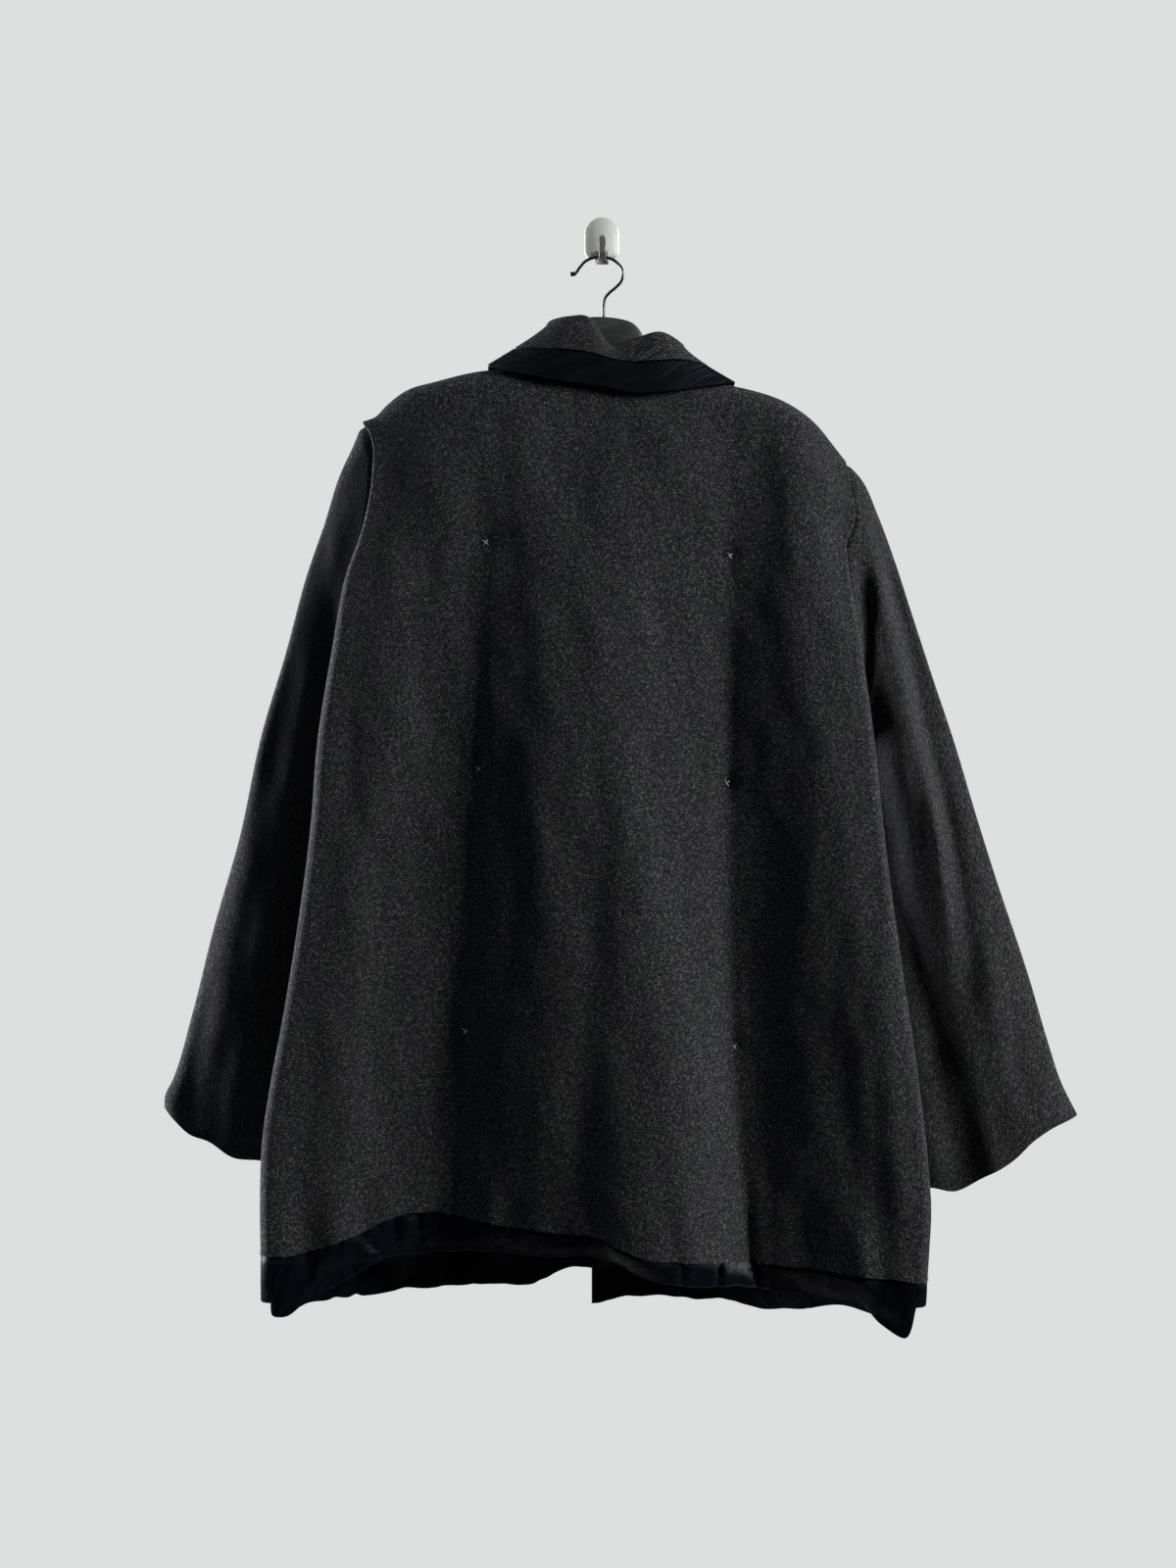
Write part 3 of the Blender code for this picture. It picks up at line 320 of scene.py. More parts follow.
def patch(top, bottom, start, end, u, v):
    """The smooth surface between four edge curves, which meet at their ends."""
    u, v = np.broadcast_arrays(u, v)
    a, b = u[..., None], v[..., None]
    across = mix(spline(top, u), spline(bottom, u), b)
    down = mix(spline(start, v), spline(end, v), a)
    corners = mix(
        mix(np.array(top[0], float), np.array(top[-1], float), a),
        mix(np.array(bottom[0], float), np.array(bottom[-1], float), a),
        b,
    )
    return across + down - corners


def points(x, depth, z):
    """Places in metres from millimetres and a depth before the wall."""
    x, depth, z = np.broadcast_arrays(x, depth, z)
    return np.stack([x, -depth, z], axis=-1) * MM


def shoulder_half(u):
    """Half the depth of the shoulder at share u from its outer corner."""
    return mix(SHOULDER_END_HALF, SHOULDER_HALF, smoothstep(0, SHOULDER_END, u))


def round_over(drop):
    """0 on the shoulder ridge, 1 where the cloth hangs straight down."""
    near = 1 - np.clip(drop / SHOULDER_ROUND, 0, 1)
    return np.sqrt(np.maximum(1 - near**2, 0))


def back_folds(u, v):
    """How far the long folds take the back towards the wall."""
    depth = 0.0
    for fold in BACK_FOLDS:
        away = u - mix(fold.u_top, fold.u_hem, v)
        reach = np.where(away < 0, fold.left, fold.right)
        height = mix(fold.depth_top, fold.depth_hem, v) * smoothstep(*FOLD_START, v)
        depth = depth + height * np.exp(-(np.abs(away / reach) ** fold.roundness))
    return depth


def back_depth(u, v):
    """Depth of the back panel's middle surface between its edges."""
    left, left_end, right_start, right = BACK_NECK
    neck = smoothstep(left, left_end, u) * (1 - smoothstep(right_start, right, u))
    rounding = mix(round_over(v * BACK_HEIGHT), 1.0, neck)
    half = shoulder_half(np.minimum(u, 1 - u))
    ridge = HANG_DEPTH + SEAM_GAP
    return ridge + half * rounding + SWELL * v**SWELL_POWER - back_folds(u, v)


def curl_radius(v):
    """Radius of the back's turned edges, almost none at the shoulder."""
    return CURL_LEAST + CURL_RADIUS * smoothstep(*CURL_GROWTH, v)


def curled(u, v, flat_points, depth):
    """Turns the left and right ends of a back piece round their edges, towards the wall."""
    radius = curl_radius(v)
    left = np.clip((CURL_SHARE - u) / CURL_SHARE, 0, 1)
    right = np.clip((u - 1 + CURL_SHARE) / CURL_SHARE, 0, 1)
    inner = np.clip((u - CURL_SHARE) / (1 - 2 * CURL_SHARE), 0, 1)
    angle = (left + right) * CURL_ANGLE
    inset = radius * (1 - 2 * inner) - radius * np.sin(angle) * np.sign(left - right)
    back = radius * (1 - np.cos(angle))
    return points(flat_points[..., 0] + inset, depth - back, flat_points[..., 1])


def back(u, v):
    """The back panel's middle surface."""
    inner = np.clip((u - CURL_SHARE) / (1 - 2 * CURL_SHARE), 0, 1)
    flat = patch(SHOULDER_LINE, BACK_HEM, BACK_LEFT, BACK_RIGHT, inner, v)
    return curled(u, v, flat, back_depth(inner, v))


def back_band(u, t):
    """The back's satin hem band, from the wool's edge down."""
    inner = np.clip((u - CURL_SHARE) / (1 - 2 * CURL_SHARE), 0, 1)
    hem = spline(BACK_HEM, inner)
    hem[..., 1] -= SEAM_GAP
    flat = mix(hem, spline(BACK_BAND_LOW, inner), t[..., None])
    ripple = np.sin(BACK_RIPPLES * inner) * np.sin(math.pi * inner)
    tuck = BAND_TUCK * t**2 - BACK_RIPPLE_DEPTH * t * ripple
    return curled(u, np.ones_like(u), flat, back_depth(inner, 1.0) - tuck)


def side_seam(side, v):
    """The back's turned edge, which the front meets, in millimetres: x, depth, z."""
    ends = back(np.full_like(v, 0.0 if side == "left" else 1.0), v) / MM
    return ends * np.array([1, -1, 1])


def outward(side):
    return -1.0 if side == "left" else 1.0


def armhole_front_depth(side, v):
    """Depth of a front's outer edge: the armhole's front half, then the side seam."""
    seam = side_seam(side, np.clip(v, 0, 1))[..., 1] - SIDE_GAP
    join = float(side_seam(side, np.array(UNDERARM))[..., 1]) - SIDE_GAP
    rows = ARMHOLE_FRONT + [(UNDERARM, join)]
    above = column(rows, np.clip(v, 0, UNDERARM))[..., 0]
    return np.where(v < UNDERARM, above, seam)


def front_depth(side, u, v):
    """Depth of a front's middle surface, from its side to its front edge."""
    edge = armhole_front_depth(side, v)
    centre = mix(CENTRE_DEPTH_TOP, CENTRE_DEPTH, smoothstep(0.0, 0.2, v)) + CENTRE_FLARE * v
    turned = 1 - np.exp(-u / TURN_WIDTH)
    inwards = mix(smoothstep(*FRONT_FALL, u), turned, TURN_SHARE)
    wide = mix(edge, centre, inwards)
    upper = HANG_DEPTH - shoulder_half(u * np.mean(FRONT_NECK))
    wide = mix(upper, wide, smoothstep(0.0, SHOULDER_FADE, v))
    shoulder = 1 - smoothstep(*FRONT_NECK, u)
    rounding = mix(1.0, round_over(v * BACK_HEIGHT), shoulder)
    return mix(HANG_DEPTH - SEAM_GAP, wide, rounding)


def front_flat(side, u, v):
    """A front's outline, x and z."""
    seam = side_seam(side, v)
    rows = side_rows(side)
    outline = patch(FRONT_TOP[side], FRONT_HEM[side], rows, FRONT_EDGE[side], u, v)
    start = spline(rows, v)
    fade = np.exp(-u / SIDE_FADE)
    outline[..., 0] += (seam[..., 0] - start[..., 0]) * fade
    outline[..., 1] += (seam[..., 2] - start[..., 1]) * fade
    return outline


def side_rows(side):
    """The side's outline with its hem at the front's first point."""
    rows = BACK_LEFT if side == "left" else BACK_RIGHT
    return rows[:-1] + [FRONT_HEM[side][0]]


def front(side, u, v):
    """A front's middle surface, u from the side to the front edge."""
    flat = front_flat(side, u, v)
    return points(flat[..., 0], front_depth(side, u, v), flat[..., 1])


def front_band(side, u, t):
    """A front's satin hem band."""
    ones = np.ones_like(u)
    hem = front_flat(side, u, ones)
    low = spline(FRONT_BAND_LOW[side], u)
    hem[..., 1] -= SEAM_GAP
    flat = mix(hem, low, t[..., None])
    zeros = np.zeros_like(u)
    ends = back_band(ones if side == "right" else zeros, t) / MM
    start = mix(front_flat(side, zeros, ones), spline(FRONT_BAND_LOW[side], zeros), t[..., None])
    fade = np.exp(-u / SIDE_FADE)
    flat[..., 0] += (ends[..., 0] - start[..., 0]) * fade
    flat[..., 1] += (ends[..., 2] - start[..., 1]) * fade
    ripple = FRONT_RIPPLE_DEPTH * np.sin(FRONT_RIPPLES * u) * t * (1 - u)
    tuck = (BAND_TUCK * t**2 + SEAM_GAP * t) * fade
    return points(flat[..., 0], front_depth(side, u, ones) - ripple - tuck, flat[..., 1])


def armhole(side, turn):
    """The sleeve's first ring: down the back of the armhole, and up its front."""
    v = UNDERARM * (1 - np.cos(turn)) / 2
    behind = side_seam(side, v)
    before = side_seam(side, v)
    before[..., 1] = armhole_front_depth(side, v)
    on_back = (np.sin(turn) >= 0)[..., None]
    ring = np.where(on_back, behind, before)
    sine = np.sin(turn)
    low = (1 - np.cos(turn)) / 2
    across = np.where(sine >= 0, ARMHOLE_GAP, ARMHOLE_GAP_FRONT) * np.abs(sine)
    ring[..., 0] += outward(side) * (ARMHOLE_GAP_TOP + across + ARMHOLE_GAP * low)
    ring[..., 1] -= np.where(sine >= 0, ARMHOLE_TUCK, 0.0) * np.sqrt(np.abs(sine))
    ring[..., 2] -= ARMHOLE_GAP * (1 - low)
    return ring


def sleeve_ring(side, turn, w):
    """An open, flattened ring of the sleeve at share w, in millimetres: x, depth, z."""
    outer = spline(SLEEVE_OUTER[side], w)
    inner = spline(SLEEVE_INNER[side], w)
    section = column(SLEEVE_SECTIONS, w)
    across = (1 - np.cos(turn)) / 2
    sine = np.sin(turn)
    sink = SLEEVE_SINK[side]
    valley = smoothstep(*SINK_SIDES, across - mix(sink.top, sink.cuff, w))
    bulge = 1 - sink.amount * valley * smoothstep(*SINK_START, w) * (sine > 0)
    swing = np.sign(sine) * np.abs(sine) ** SLEEVE_FLATNESS * bulge
    flat = mix(outer, inner, across[..., None])
    depth = section[..., 0] + section[..., 1] / 2 * swing
    drop = column(CUFF_DROP[side], across)[..., 0] * smoothstep(CUFF_START, 1, w)
    return np.stack([flat[..., 0], depth, flat[..., 1] - drop], axis=-1)


def from_route(route, x, z):
    """Distance from a line of points, its sign by the side in x, and the share along it."""
    line = spline(route, np.linspace(0, 1, 25))
    start, step = line[:-1], np.diff(line, axis=0)
    off = np.stack([x, z], axis=-1)[..., None, :] - start
    along = np.clip((off * step).sum(axis=-1) / (step**2).sum(axis=-1), 0, 1)
    off = off - along[..., None] * step
    distance = np.linalg.norm(off, axis=-1)
    nearest = distance.argmin(axis=-1)[..., None]
    sign = np.sign(np.take_along_axis(off[..., 0], nearest, -1)[..., 0])
    share = (nearest + np.take_along_axis(along, nearest, -1))[..., 0] / len(start)
    return np.take_along_axis(distance, nearest, -1)[..., 0] * sign, share


def sleeve_folds(x, z):
    """Height of the right sleeve's long folds towards the room."""
    height = 0.0
    rise, die = FOLD_FADE
    for fold in SLEEVE_FOLDS:
        distance, share = from_route(fold.route, x, z)
        width = np.where(distance < 0, fold.body_width, fold.outer_width)
        fade = smoothstep(0, rise, share) * (1 - smoothstep(1 - die, 1, share))
        height = height + fold.height * fade * np.exp(-((distance / width) ** 2))
    return height


def sleeve(side, u, w):
    """A sleeve's middle surface, u round it from its outer fold over the side away from the wall."""
    turn = 2 * math.pi * u
    ring = sleeve_ring(side, turn, w)
    first = sleeve_ring(side, turn, np.zeros_like(w))
    blend = np.clip(1 - w / ARMHOLE_BLEND, 0, 1)[..., None] ** 2
    ring = ring + blend * (armhole(side, turn) - first)
    if side == "right":
        room_side = np.clip(2 * np.sin(turn), 0, 1) * smoothstep(*SLEEVE_FOLD_START, w)
        ring[..., 1] += sleeve_folds(ring[..., 0], ring[..., 2]) * room_side
    return points(ring[..., 0], ring[..., 1], ring[..., 2])


def collar(u, t):
    """The collar's middle surface, t from the neck seam over the fold to the lower edge."""
    rows = np.array(COLLAR_SECTIONS, float)
    rows[:, 0] = np.degrees(np.unwrap(np.radians(rows[:, 0])))
    row = through(rows, np.linspace(0, 1, len(rows)), u)
    facing = np.radians(row[..., 0])
    seam, fold, edge = row[..., 1:4], row[..., 4:7], row[..., 7:10]
    side = np.stack([np.sin(facing), np.cos(facing), np.zeros_like(facing)], axis=-1)
    drop = np.array([0.0, 0.0, COLLAR_ROLL_DROP])
    inside = fold - side * COLLAR_ROLL - drop
    outside = fold + side * COLLAR_ROLL - drop
    path = np.stack([seam, inside, fold, outside, edge])
    knots = np.array([0.0, FOLD_SHARE - ROLL_SHARE, FOLD_SHARE, FOLD_SHARE + ROLL_SHARE, 1.0])
    weights = through(np.eye(len(knots)), knots, t)
    place = np.einsum("...k,k...c->...c", weights, path)
    return points(place[..., 0], place[..., 1], place[..., 2])


def band_share(u):
    """Share t at which the collar's band begins."""
    edge = collar(u, np.ones_like(u))
    fold = collar(u, np.full_like(u, FOLD_SHARE))
    fall = np.linalg.norm(edge - fold, axis=-1)
    part = np.clip(COLLAR_BAND_WIDTH * MM / fall, 0, COLLAR_BAND_MOST)
    return 1 - part * (1 - FOLD_SHARE)


def collar_cloth(u, t):
    """The collar's wool, as far as its band."""
    return collar(u, t * (band_share(u) - COLLAR_BAND_GAP))


def collar_edge(u, t):
    """The satin band round the collar's edge."""
    return collar(u, mix(band_share(u) + COLLAR_BAND_GAP, 1.0, t))


def rims(down, across, last, wrap):
    """The open edges of a wall's grid, as pairs of points in one turning sense."""
    foot = (down - 1) * across
    yield [(j, (j + 1) % across) for j in range(last)]
    yield [(foot + (j + 1) % across, foot + j) for j in range(last)]
    if not wrap:
        yield [((i + 1) * across, i * across) for i in range(down - 1)]
        yield [(i * across + across - 1, (i + 1) * across + across - 1) for i in range(down - 1)]


# Creases of the worn-in cloth. Each row has the height, the widths to the left and to the right,
# the shares of the length over which it begins and ends, and its route down the cloth. The height
# is towards the room, or towards the wall on a piece's hidden side. Each side of a crease has its
# own width, so that a fold can be steep on one side and soft on the other.

BACK_CREASES = [
    # the edges of the two folds below the tacks
    (-2.2, 10, 7, 0.3, 0.0, [(-112, -300), (-118, -519), (-130, -766), (-136, -960)]),
    (-2.6, 12, 7, 0.3, 0.0, [(122, -300), (120, -530), (124, -770), (138, -985)]),
    (-2.0, 6, 5, 0.5, 0.0, [(121, -600), (124, -790), (139, -985)]),
    (2.2, 22, 24, 0.4, 0.2, [(-64, -330), (-60, -560), (-52, -800), (-46, -955)]),
    (-2.2, 16, 18, 0.4, 0.1, [(-8, -500), (-4, -640), (-10, -780), (-22, -960)]),
    (-1.6, 14, 16, 0.4, 0.3, [(-84, -480), (-80, -620), (-84, -760)]),
    (1.8, 20, 22, 0.45, 0.2, [(176, -560), (184, -740), (190, -960)]),
    (-1.8, 16, 20, 0.4, 0.2, [(212, -540), (222, -720), (230, -960)]),
    (-1.6, 14, 18, 0.4, 0.2, [(-196, -430), (-206, -640), (-216, -930)]),
    # drags from the shoulders and the armholes
    (-1.2, 16, 20, 0.25, 0.6, [(-190, -210), (-180, -300), (-172, -440)]),
    (1.2, 18, 22, 0.25, 0.6, [(-160, -190), (-150, -290), (-144, -400)]),
    (-1.4, 16, 14, 0.2, 0.6, [(-98, -160), (-90, -260), (-92, -380)]),
    (1.6, 22, 24, 0.2, 0.6, [(60, -165), (66, -260), (70, -380)]),
    (-1.6, 18, 14, 0.2, 0.6, [(150, -180), (160, -280), (170, -420)]),
    (2.0, 18, 14, 0.2, 0.6, [(206, -215), (222, -300), (232, -430)]),
    (-1.0, 12, 16, 0.25, 0.5, [(-236, -420), (-240, -560), (-248, -700)]),
    (-1.0, 12, 16, 0.3, 0.3, [(-206, -460), (-216, -640), (-226, -830), (-232, -950)]),
    (-0.8, 10, 12, 0.3, 0.0, [(-272, -760), (-278, -850), (-282, -970)]),
    (-1.4, 12, 12, 0.3, 0.3, [(240, -460), (248, -600), (256, -760)]),
    (1.6, 12, 14, 0.3, 0.2, [(258, -620), (268, -780), (276, -960)]),
    (-1.8, 10, 12, 0.3, 0.0, [(250, -760), (254, -880), (258, -985)]),
    # short waves above the puckered band
    (1.6, 9, 11, 0.6, 0.0, [(-296, -900), (-300, -974)]),
    (-1.4, 8, 9, 0.7, 0.0, [(-276, -915), (-280, -970)]),
    (1.8, 10, 10, 0.6, 0.0, [(-248, -890), (-252, -962)]),
    (-1.8, 8, 10, 0.6, 0.0, [(-224, -900), (-226, -952)]),
    (1.6, 9, 12, 0.6, 0.0, [(-204, -884), (-200, -942)]),
    (-1.2, 8, 8, 0.7, 0.0, [(-160, -896), (-158, -940)]),
    (1.4, 10, 9, 0.6, 0.0, [(-108, -890), (-104, -946)]),
    (-1.2, 8, 10, 0.7, 0.0, [(-84, -905), (-82, -948)]),
    (-1.4, 8, 9, 0.6, 0.0, [(-12, -900), (-8, -954)]),
    (1.4, 10, 12, 0.6, 0.0, [(10, -895), (16, -962)]),
    (-1.2, 9, 8, 0.7, 0.0, [(62, -915), (66, -972)]),
    (1.2, 8, 12, 0.6, 0.0, [(104, -910), (110, -978)]),
    (1.4, 9, 9, 0.6, 0.0, [(164, -900), (168, -982)]),
    (-1.4, 8, 10, 0.6, 0.0, [(188, -905), (192, -984)]),
    (1.6, 9, 10, 0.6, 0.0, [(236, -910), (240, -990)]),
    (-1.4, 8, 9, 0.6, 0.0, [(284, -920), (284, -994)]),
]

FRONT_CREASES = {
    "left": [
        (3.5, 24, 20, 0.35, 0.0, [(-96, -300), (-110, -560), (-124, -800), (-130, -985)]),
        (-3.5, 18, 26, 0.3, 0.0, [(-60, -260), (-66, -540), (-78, -780), (-90, -980)]),
        (-3.0, 20, 16, 0.3, 0.0, [(-140, -330), (-166, -600), (-180, -800), (-186, -985)]),
        (3.0, 22, 22, 0.4, 0.0, [(-190, -430), (-214, -660), (-228, -860), (-236, -990)]),
        (-1.8, 12, 16, 0.25, 0.6, [(-180, -200), (-150, -300), (-128, -420)]),
        (1.8, 14, 14, 0.25, 0.6, [(-140, -170), (-118, -270), (-100, -380)]),
        (-1.6, 12, 12, 0.2, 0.6, [(-90, -180), (-70, -260), (-54, -350)]),
        (2.0, 12, 16, 0.3, 0.3, [(-26, -420), (-34, -640), (-46, -860)]),
        (-1.6, 9, 10, 0.6, 0.0, [(-260, -900), (-266, -985)]),
        (1.6, 9, 10, 0.6, 0.0, [(-150, -900), (-152, -980)]),
        (-1.4, 8, 10, 0.6, 0.0, [(-112, -905), (-112, -976)]),
    ],
    "right": [
        (-3.5, 24, 20, 0.35, 0.0, [(70, -280), (82, -560), (92, -800), (98, -990)]),
        (3.5, 18, 26, 0.3, 0.0, [(116, -300), (134, -560), (146, -800), (152, -990)]),
        (-2.8, 20, 16, 0.3, 0.0, [(160, -360), (186, -620), (198, -820), (204, -1000)]),
        (3.0, 20, 22, 0.4, 0.0, [(200, -440), (222, -660), (236, -860), (242, -1000)]),
        (1.8, 12, 16, 0.25, 0.6, [(186, -200), (160, -310), (140, -430)]),
        (-1.8, 14, 14, 0.25, 0.6, [(150, -180), (128, -280), (112, -400)]),
        (1.6, 12, 12, 0.2, 0.6, [(100, -180), (84, -270), (72, -360)]),
        (-1.8, 12, 16, 0.3, 0.3, [(30, -400), (34, -620), (40, -860)]),
        (1.6, 9, 10, 0.6, 0.0, [(60, -910), (60, -992)]),
        (-1.6, 9, 10, 0.6, 0.0, [(180, -905), (182, -996)]),
        (1.4, 8, 10, 0.6, 0.0, [(268, -905), (270, -998)]),
    ],
}

# The sleeves' creases, on the side to the room and on the side to the wall.
SLEEVE_CREASES = {
    ("left", "room"): [
        (2.5, 16, 20, 0.3, 0.0, [(-262, -330), (-296, -520), (-330, -700), (-352, -860)]),
        (-2.5, 14, 16, 0.25, 0.2, [(-246, -300), (-268, -460), (-292, -640), (-306, -800)]),
        (-1.6, 12, 14, 0.3, 0.4, [(-280, -360), (-310, -480), (-336, -600)]),
        (1.8, 12, 12, 0.3, 0.3, [(-330, -560), (-356, -700), (-376, -820)]),
        (-1.6, 10, 12, 0.4, 0.0, [(-366, -700), (-388, -790), (-398, -850)]),
        (1.6, 12, 12, 0.3, 0.5, [(-236, -230), (-252, -300), (-270, -390)]),
        (1.6, 10, 14, 0.3, 0.0, [(-290, -700), (-300, -800), (-308, -890)]),
    ],
    ("right", "room"): [
        (2.6, 9, 6, 0.15, 0.35, [(244, -282), *SLEEVE_FOLDS[0].route[1:]]),
        (-2.4, 8, 9, 0.15, 0.4, [
            (258, -296), (268, -322), (279, -352), (288, -392), (300, -442), (309, -490),
            (322, -538), (332, -582), (341, -632), (348, -690),
        ]),
        (7.5, 20, 14, 0.1, 0.5, [(238, -290), (249, -350), (269, -440), (295, -560), (312, -700)]),
        (2.5, 16, 18, 0.3, 0.2, [(300, -400), (330, -520), (362, -660), (390, -800)]),
        (-1.8, 12, 14, 0.3, 0.0, [(360, -620), (384, -720), (404, -830)]),
        (1.8, 14, 14, 0.3, 0.0, [(300, -740), (308, -840), (316, -900)]),
        (-1.8, 12, 12, 0.4, 0.0, [(340, -780), (348, -840), (352, -890)]),
    ],
    ("left", "wall"): [
        (3.0, 14, 18, 0.2, 0.2, [(-248, -300), (-276, -450), (-300, -620), (-318, -800)]),
        (-3.0, 14, 14, 0.2, 0.3, [(-262, -300), (-300, -460), (-330, -620), (-350, -780)]),
        (2.0, 12, 14, 0.3, 0.0, [(-330, -540), (-362, -700), (-384, -840)]),
        (-2.0, 12, 12, 0.3, 0.0, [(-286, -680), (-294, -800), (-298, -890)]),
    ],
    ("right", "wall"): [
        (-3.0, 14, 18, 0.2, 0.2, [(256, -320), (280, -460), (300, -620), (316, -800)]),
        (3.0, 14, 14, 0.2, 0.3, [(272, -320), (308, -470), (336, -620), (360, -780)]),
        (-2.0, 12, 14, 0.3, 0.0, [(338, -540), (366, -690), (394, -830)]),
        (2.0, 12, 12, 0.3, 0.0, [(296, -700), (308, -820), (320, -900)]),
    ],
}

# Creases and crumples of the back's satin band.
BAND_CREASES = [
    (-2.2, 3, 4, 0.1, 0.2, [(-195, -940), (-196, -956), (-193, -974)]),
    (1.6, 4, 6, 0.1, 0.4, [(-186, -942), (-184, -958), (-188, -972)]),
    (-1.8, 3, 3, 0.1, 0.3, [(-172, -940), (-173, -955), (-168, -966)]),
    (1.5, 4, 5, 0.2, 0.2, [(-163, -940), (-160, -955), (-164, -968)]),
    (-1.6, 3, 4, 0.1, 0.5, [(-155, -942), (-152, -960)]),
    (-2.6, 4, 5, 0.2, 0.3, [(-219, -958), (-214, -968), (-207, -972)]),
    (2.2, 5, 5, 0.2, 0.2, [(-228, -958), (-224, -972), (-206, -978)]),
    (1.8, 6, 6, 0.2, 0.2, [(-252, -1006), (-228, -994), (-212, -976)]),
    (-1.6, 5, 6, 0.2, 0.2, [(-268, -992), (-246, -986), (-226, -984)]),
    (-1.8, 3, 4, 0.1, 0.2, [(-101, -946), (-98, -960), (-104, -974)]),
    (1.6, 4, 5, 0.1, 0.2, [(-92, -948), (-88, -962), (-92, -974)]),
    (-1.4, 4, 4, 0.1, 0.4, [(-62, -954), (-64, -970)]),
    (1.3, 5, 6, 0.1, 0.3, [(-36, -956), (-33, -972)]),
    (-1.4, 3, 5, 0.2, 0.2, [(2, -960), (6, -974), (2, -986)]),
    (1.4, 5, 6, 0.1, 0.3, [(40, -966), (44, -984), (40, -996)]),
    (-1.5, 3, 4, 0.1, 0.2, [(74, -972), (73, -990), (76, -1000)]),
    (-2.2, 3, 3, 0.1, 0.2, [(106, -976), (107, -992), (104, -1006)]),
    (1.8, 4, 4, 0.1, 0.2, [(113, -976), (115, -992), (112, -1006)]),
    (-2.6, 3, 4, 0.05, 0.2, [(139, -984), (143, -998), (141, -1010)]),
    (2.0, 3, 4, 0.05, 0.2, [(147, -984), (151, -998), (148, -1010)]),
    (-1.6, 5, 6, 0.1, 0.2, [(176, -990), (184, -1004), (196, -1016)]),
    (1.8, 7, 8, 0.2, 0.2, [(204, -994), (226, -1008), (256, -1020)]),
    (-1.8, 6, 8, 0.2, 0.2, [(236, -1002), (256, -1022), (276, -1030)]),
]

# The visual cloth, beyond the solids' surfaces
BACK_EDGE_FADE = (0.07, 0.16)  # shares of the back's width over which its relief begins
BACK_PUCKER = 1.3  # the height of the puckers below the back band's seam
BAND_LAP = 6.0  # how far a hem band reaches up behind the wool
BAND_LAP_DEPTH = 2.6
BAND_LAP_SHARE = 0.14
BAND_ROLL = 0.8  # the folded lower edge is a little thicker
BAND_ROLL_SHARE = 0.09
RELIEF_SHARE = 0.7  # share of a band over which the wool's relief dies away
RIPPLE_REACH = 300  # puckers are spread from minus this x to this x
SCALLOP_REACH = 340.0
SEAM_ALLOWANCE = 7.0  # how far a sleeve's seam lies inside the armhole
UNDERLAP = 9.0  # how far the left front runs behind the right one's edge, seen from the back
UNDERLAP_DEPTH = 4.0

# Soft bumps of the wool: the size and the height of each kind.
UNEVENNESS = [(150, 0.9), (80, 0.5), (44, 0.28), (25, 0.12)]

# The uneven scallops of the lower edges: their height, and the seed of their spacing.
SCALLOPS = {"wool_edge": (1.5, 31), "back_band": (1.1, 23), "front_band": (2.6, 29)}

# Seeds of the other random draws.
SEEDS = {"back": 3, "front": 5, "sleeve": 7, "back_band": 11, "front_band": 17, "fibres": 23}

# The crossed tack stitches: x, z and the turn of the cross in degrees.
Tack = namedtuple("Tack", "x z turn")
TACKS = [
    Tack(-111.1, -303.0, 8), Tack(121.5, -315.5, -6), Tack(-117.0, -518.9, 4),
    Tack(117.9, -532.1, -12), Tack(-129.0, -766.3, 14), Tack(124.0, -780.2, -4),
]
TACK_DIMPLES = [(1.8, 9.0), (1.0, 24.0)]  # depth and reach of the hollow round each


def crease_height(creases, x, z):
    """The summed height of the creases at flat places, in millimetres."""
    height = np.zeros_like(x)
    for rise, left, right, fade_in, fade_out, route in creases:
        distance, share = from_route(route, x, z)
        width = np.where(distance < 0, left, right)
        fade = smoothstep(0, fade_in, share)
        if fade_out:
            fade = fade * (1 - smoothstep(1 - fade_out, 1, share))
        wobble = 1 + 0.18 * np.sin(share * 9 + rise * 3) + 0.1 * np.sin(share * 23)
        height += rise * wobble * fade * np.exp(-((distance / width) ** 2))
    return height


def unevenness(x, z, seed):
    """Small soft bumps of a worn woollen cloth, in millimetres."""
    rng = np.random.default_rng(seed)
    height = np.zeros_like(x)
    for size, amount in UNEVENNESS:
        for _ in range(4):
            angle = rng.uniform(-0.5, 0.5) + (math.pi if rng.random() < 0.3 else 0)
            phase = rng.uniform(0, 2 * math.pi)
            wave = 2 * math.pi / size
            place = x * math.cos(angle) * wave + z * math.sin(angle) * wave * 0.6
            bend = 0.9 * np.sin(z * wave * 0.45 + phase * 2)
            height += amount / 2 * np.sin(place + phase + bend)
    return height


def tack_dimples(x, z):
    """The cloth drawn in round each tack."""
    height = np.zeros_like(x)
    for tack in TACKS:
        near = (x - tack.x) ** 2 + (z - tack.z) ** 2
        for depth, reach in TACK_DIMPLES:
            height -= depth * np.exp(-near / reach**2)
    return height


def flat_places(places):
    """The x and z of places, in millimetres."""
    return places[..., 0] / MM, places[..., 2] / MM


def room_shift(places, height):
    """Moves places by heights in millimetres towards the room."""
    moved = places.copy()
    moved[..., 1] -= height * MM
    return moved


def back_middle(u):
    """1 over the back's width, fading to 0 towards its turned edges."""
    start, whole = BACK_EDGE_FADE
    return smoothstep(start, whole, u) * (1 - smoothstep(1 - whole, 1 - start, u))


def back_relief(u, v, places):
    """How far the back's wool stands towards the room from its solid, in millimetres."""
    x, z = flat_places(places)
    height = crease_height(BACK_CREASES, x, z) + tack_dimples(x, z)
    return (height + unevenness(x, z, SEEDS["back"])) * back_middle(u) * smoothstep(0.01, 0.08, v)


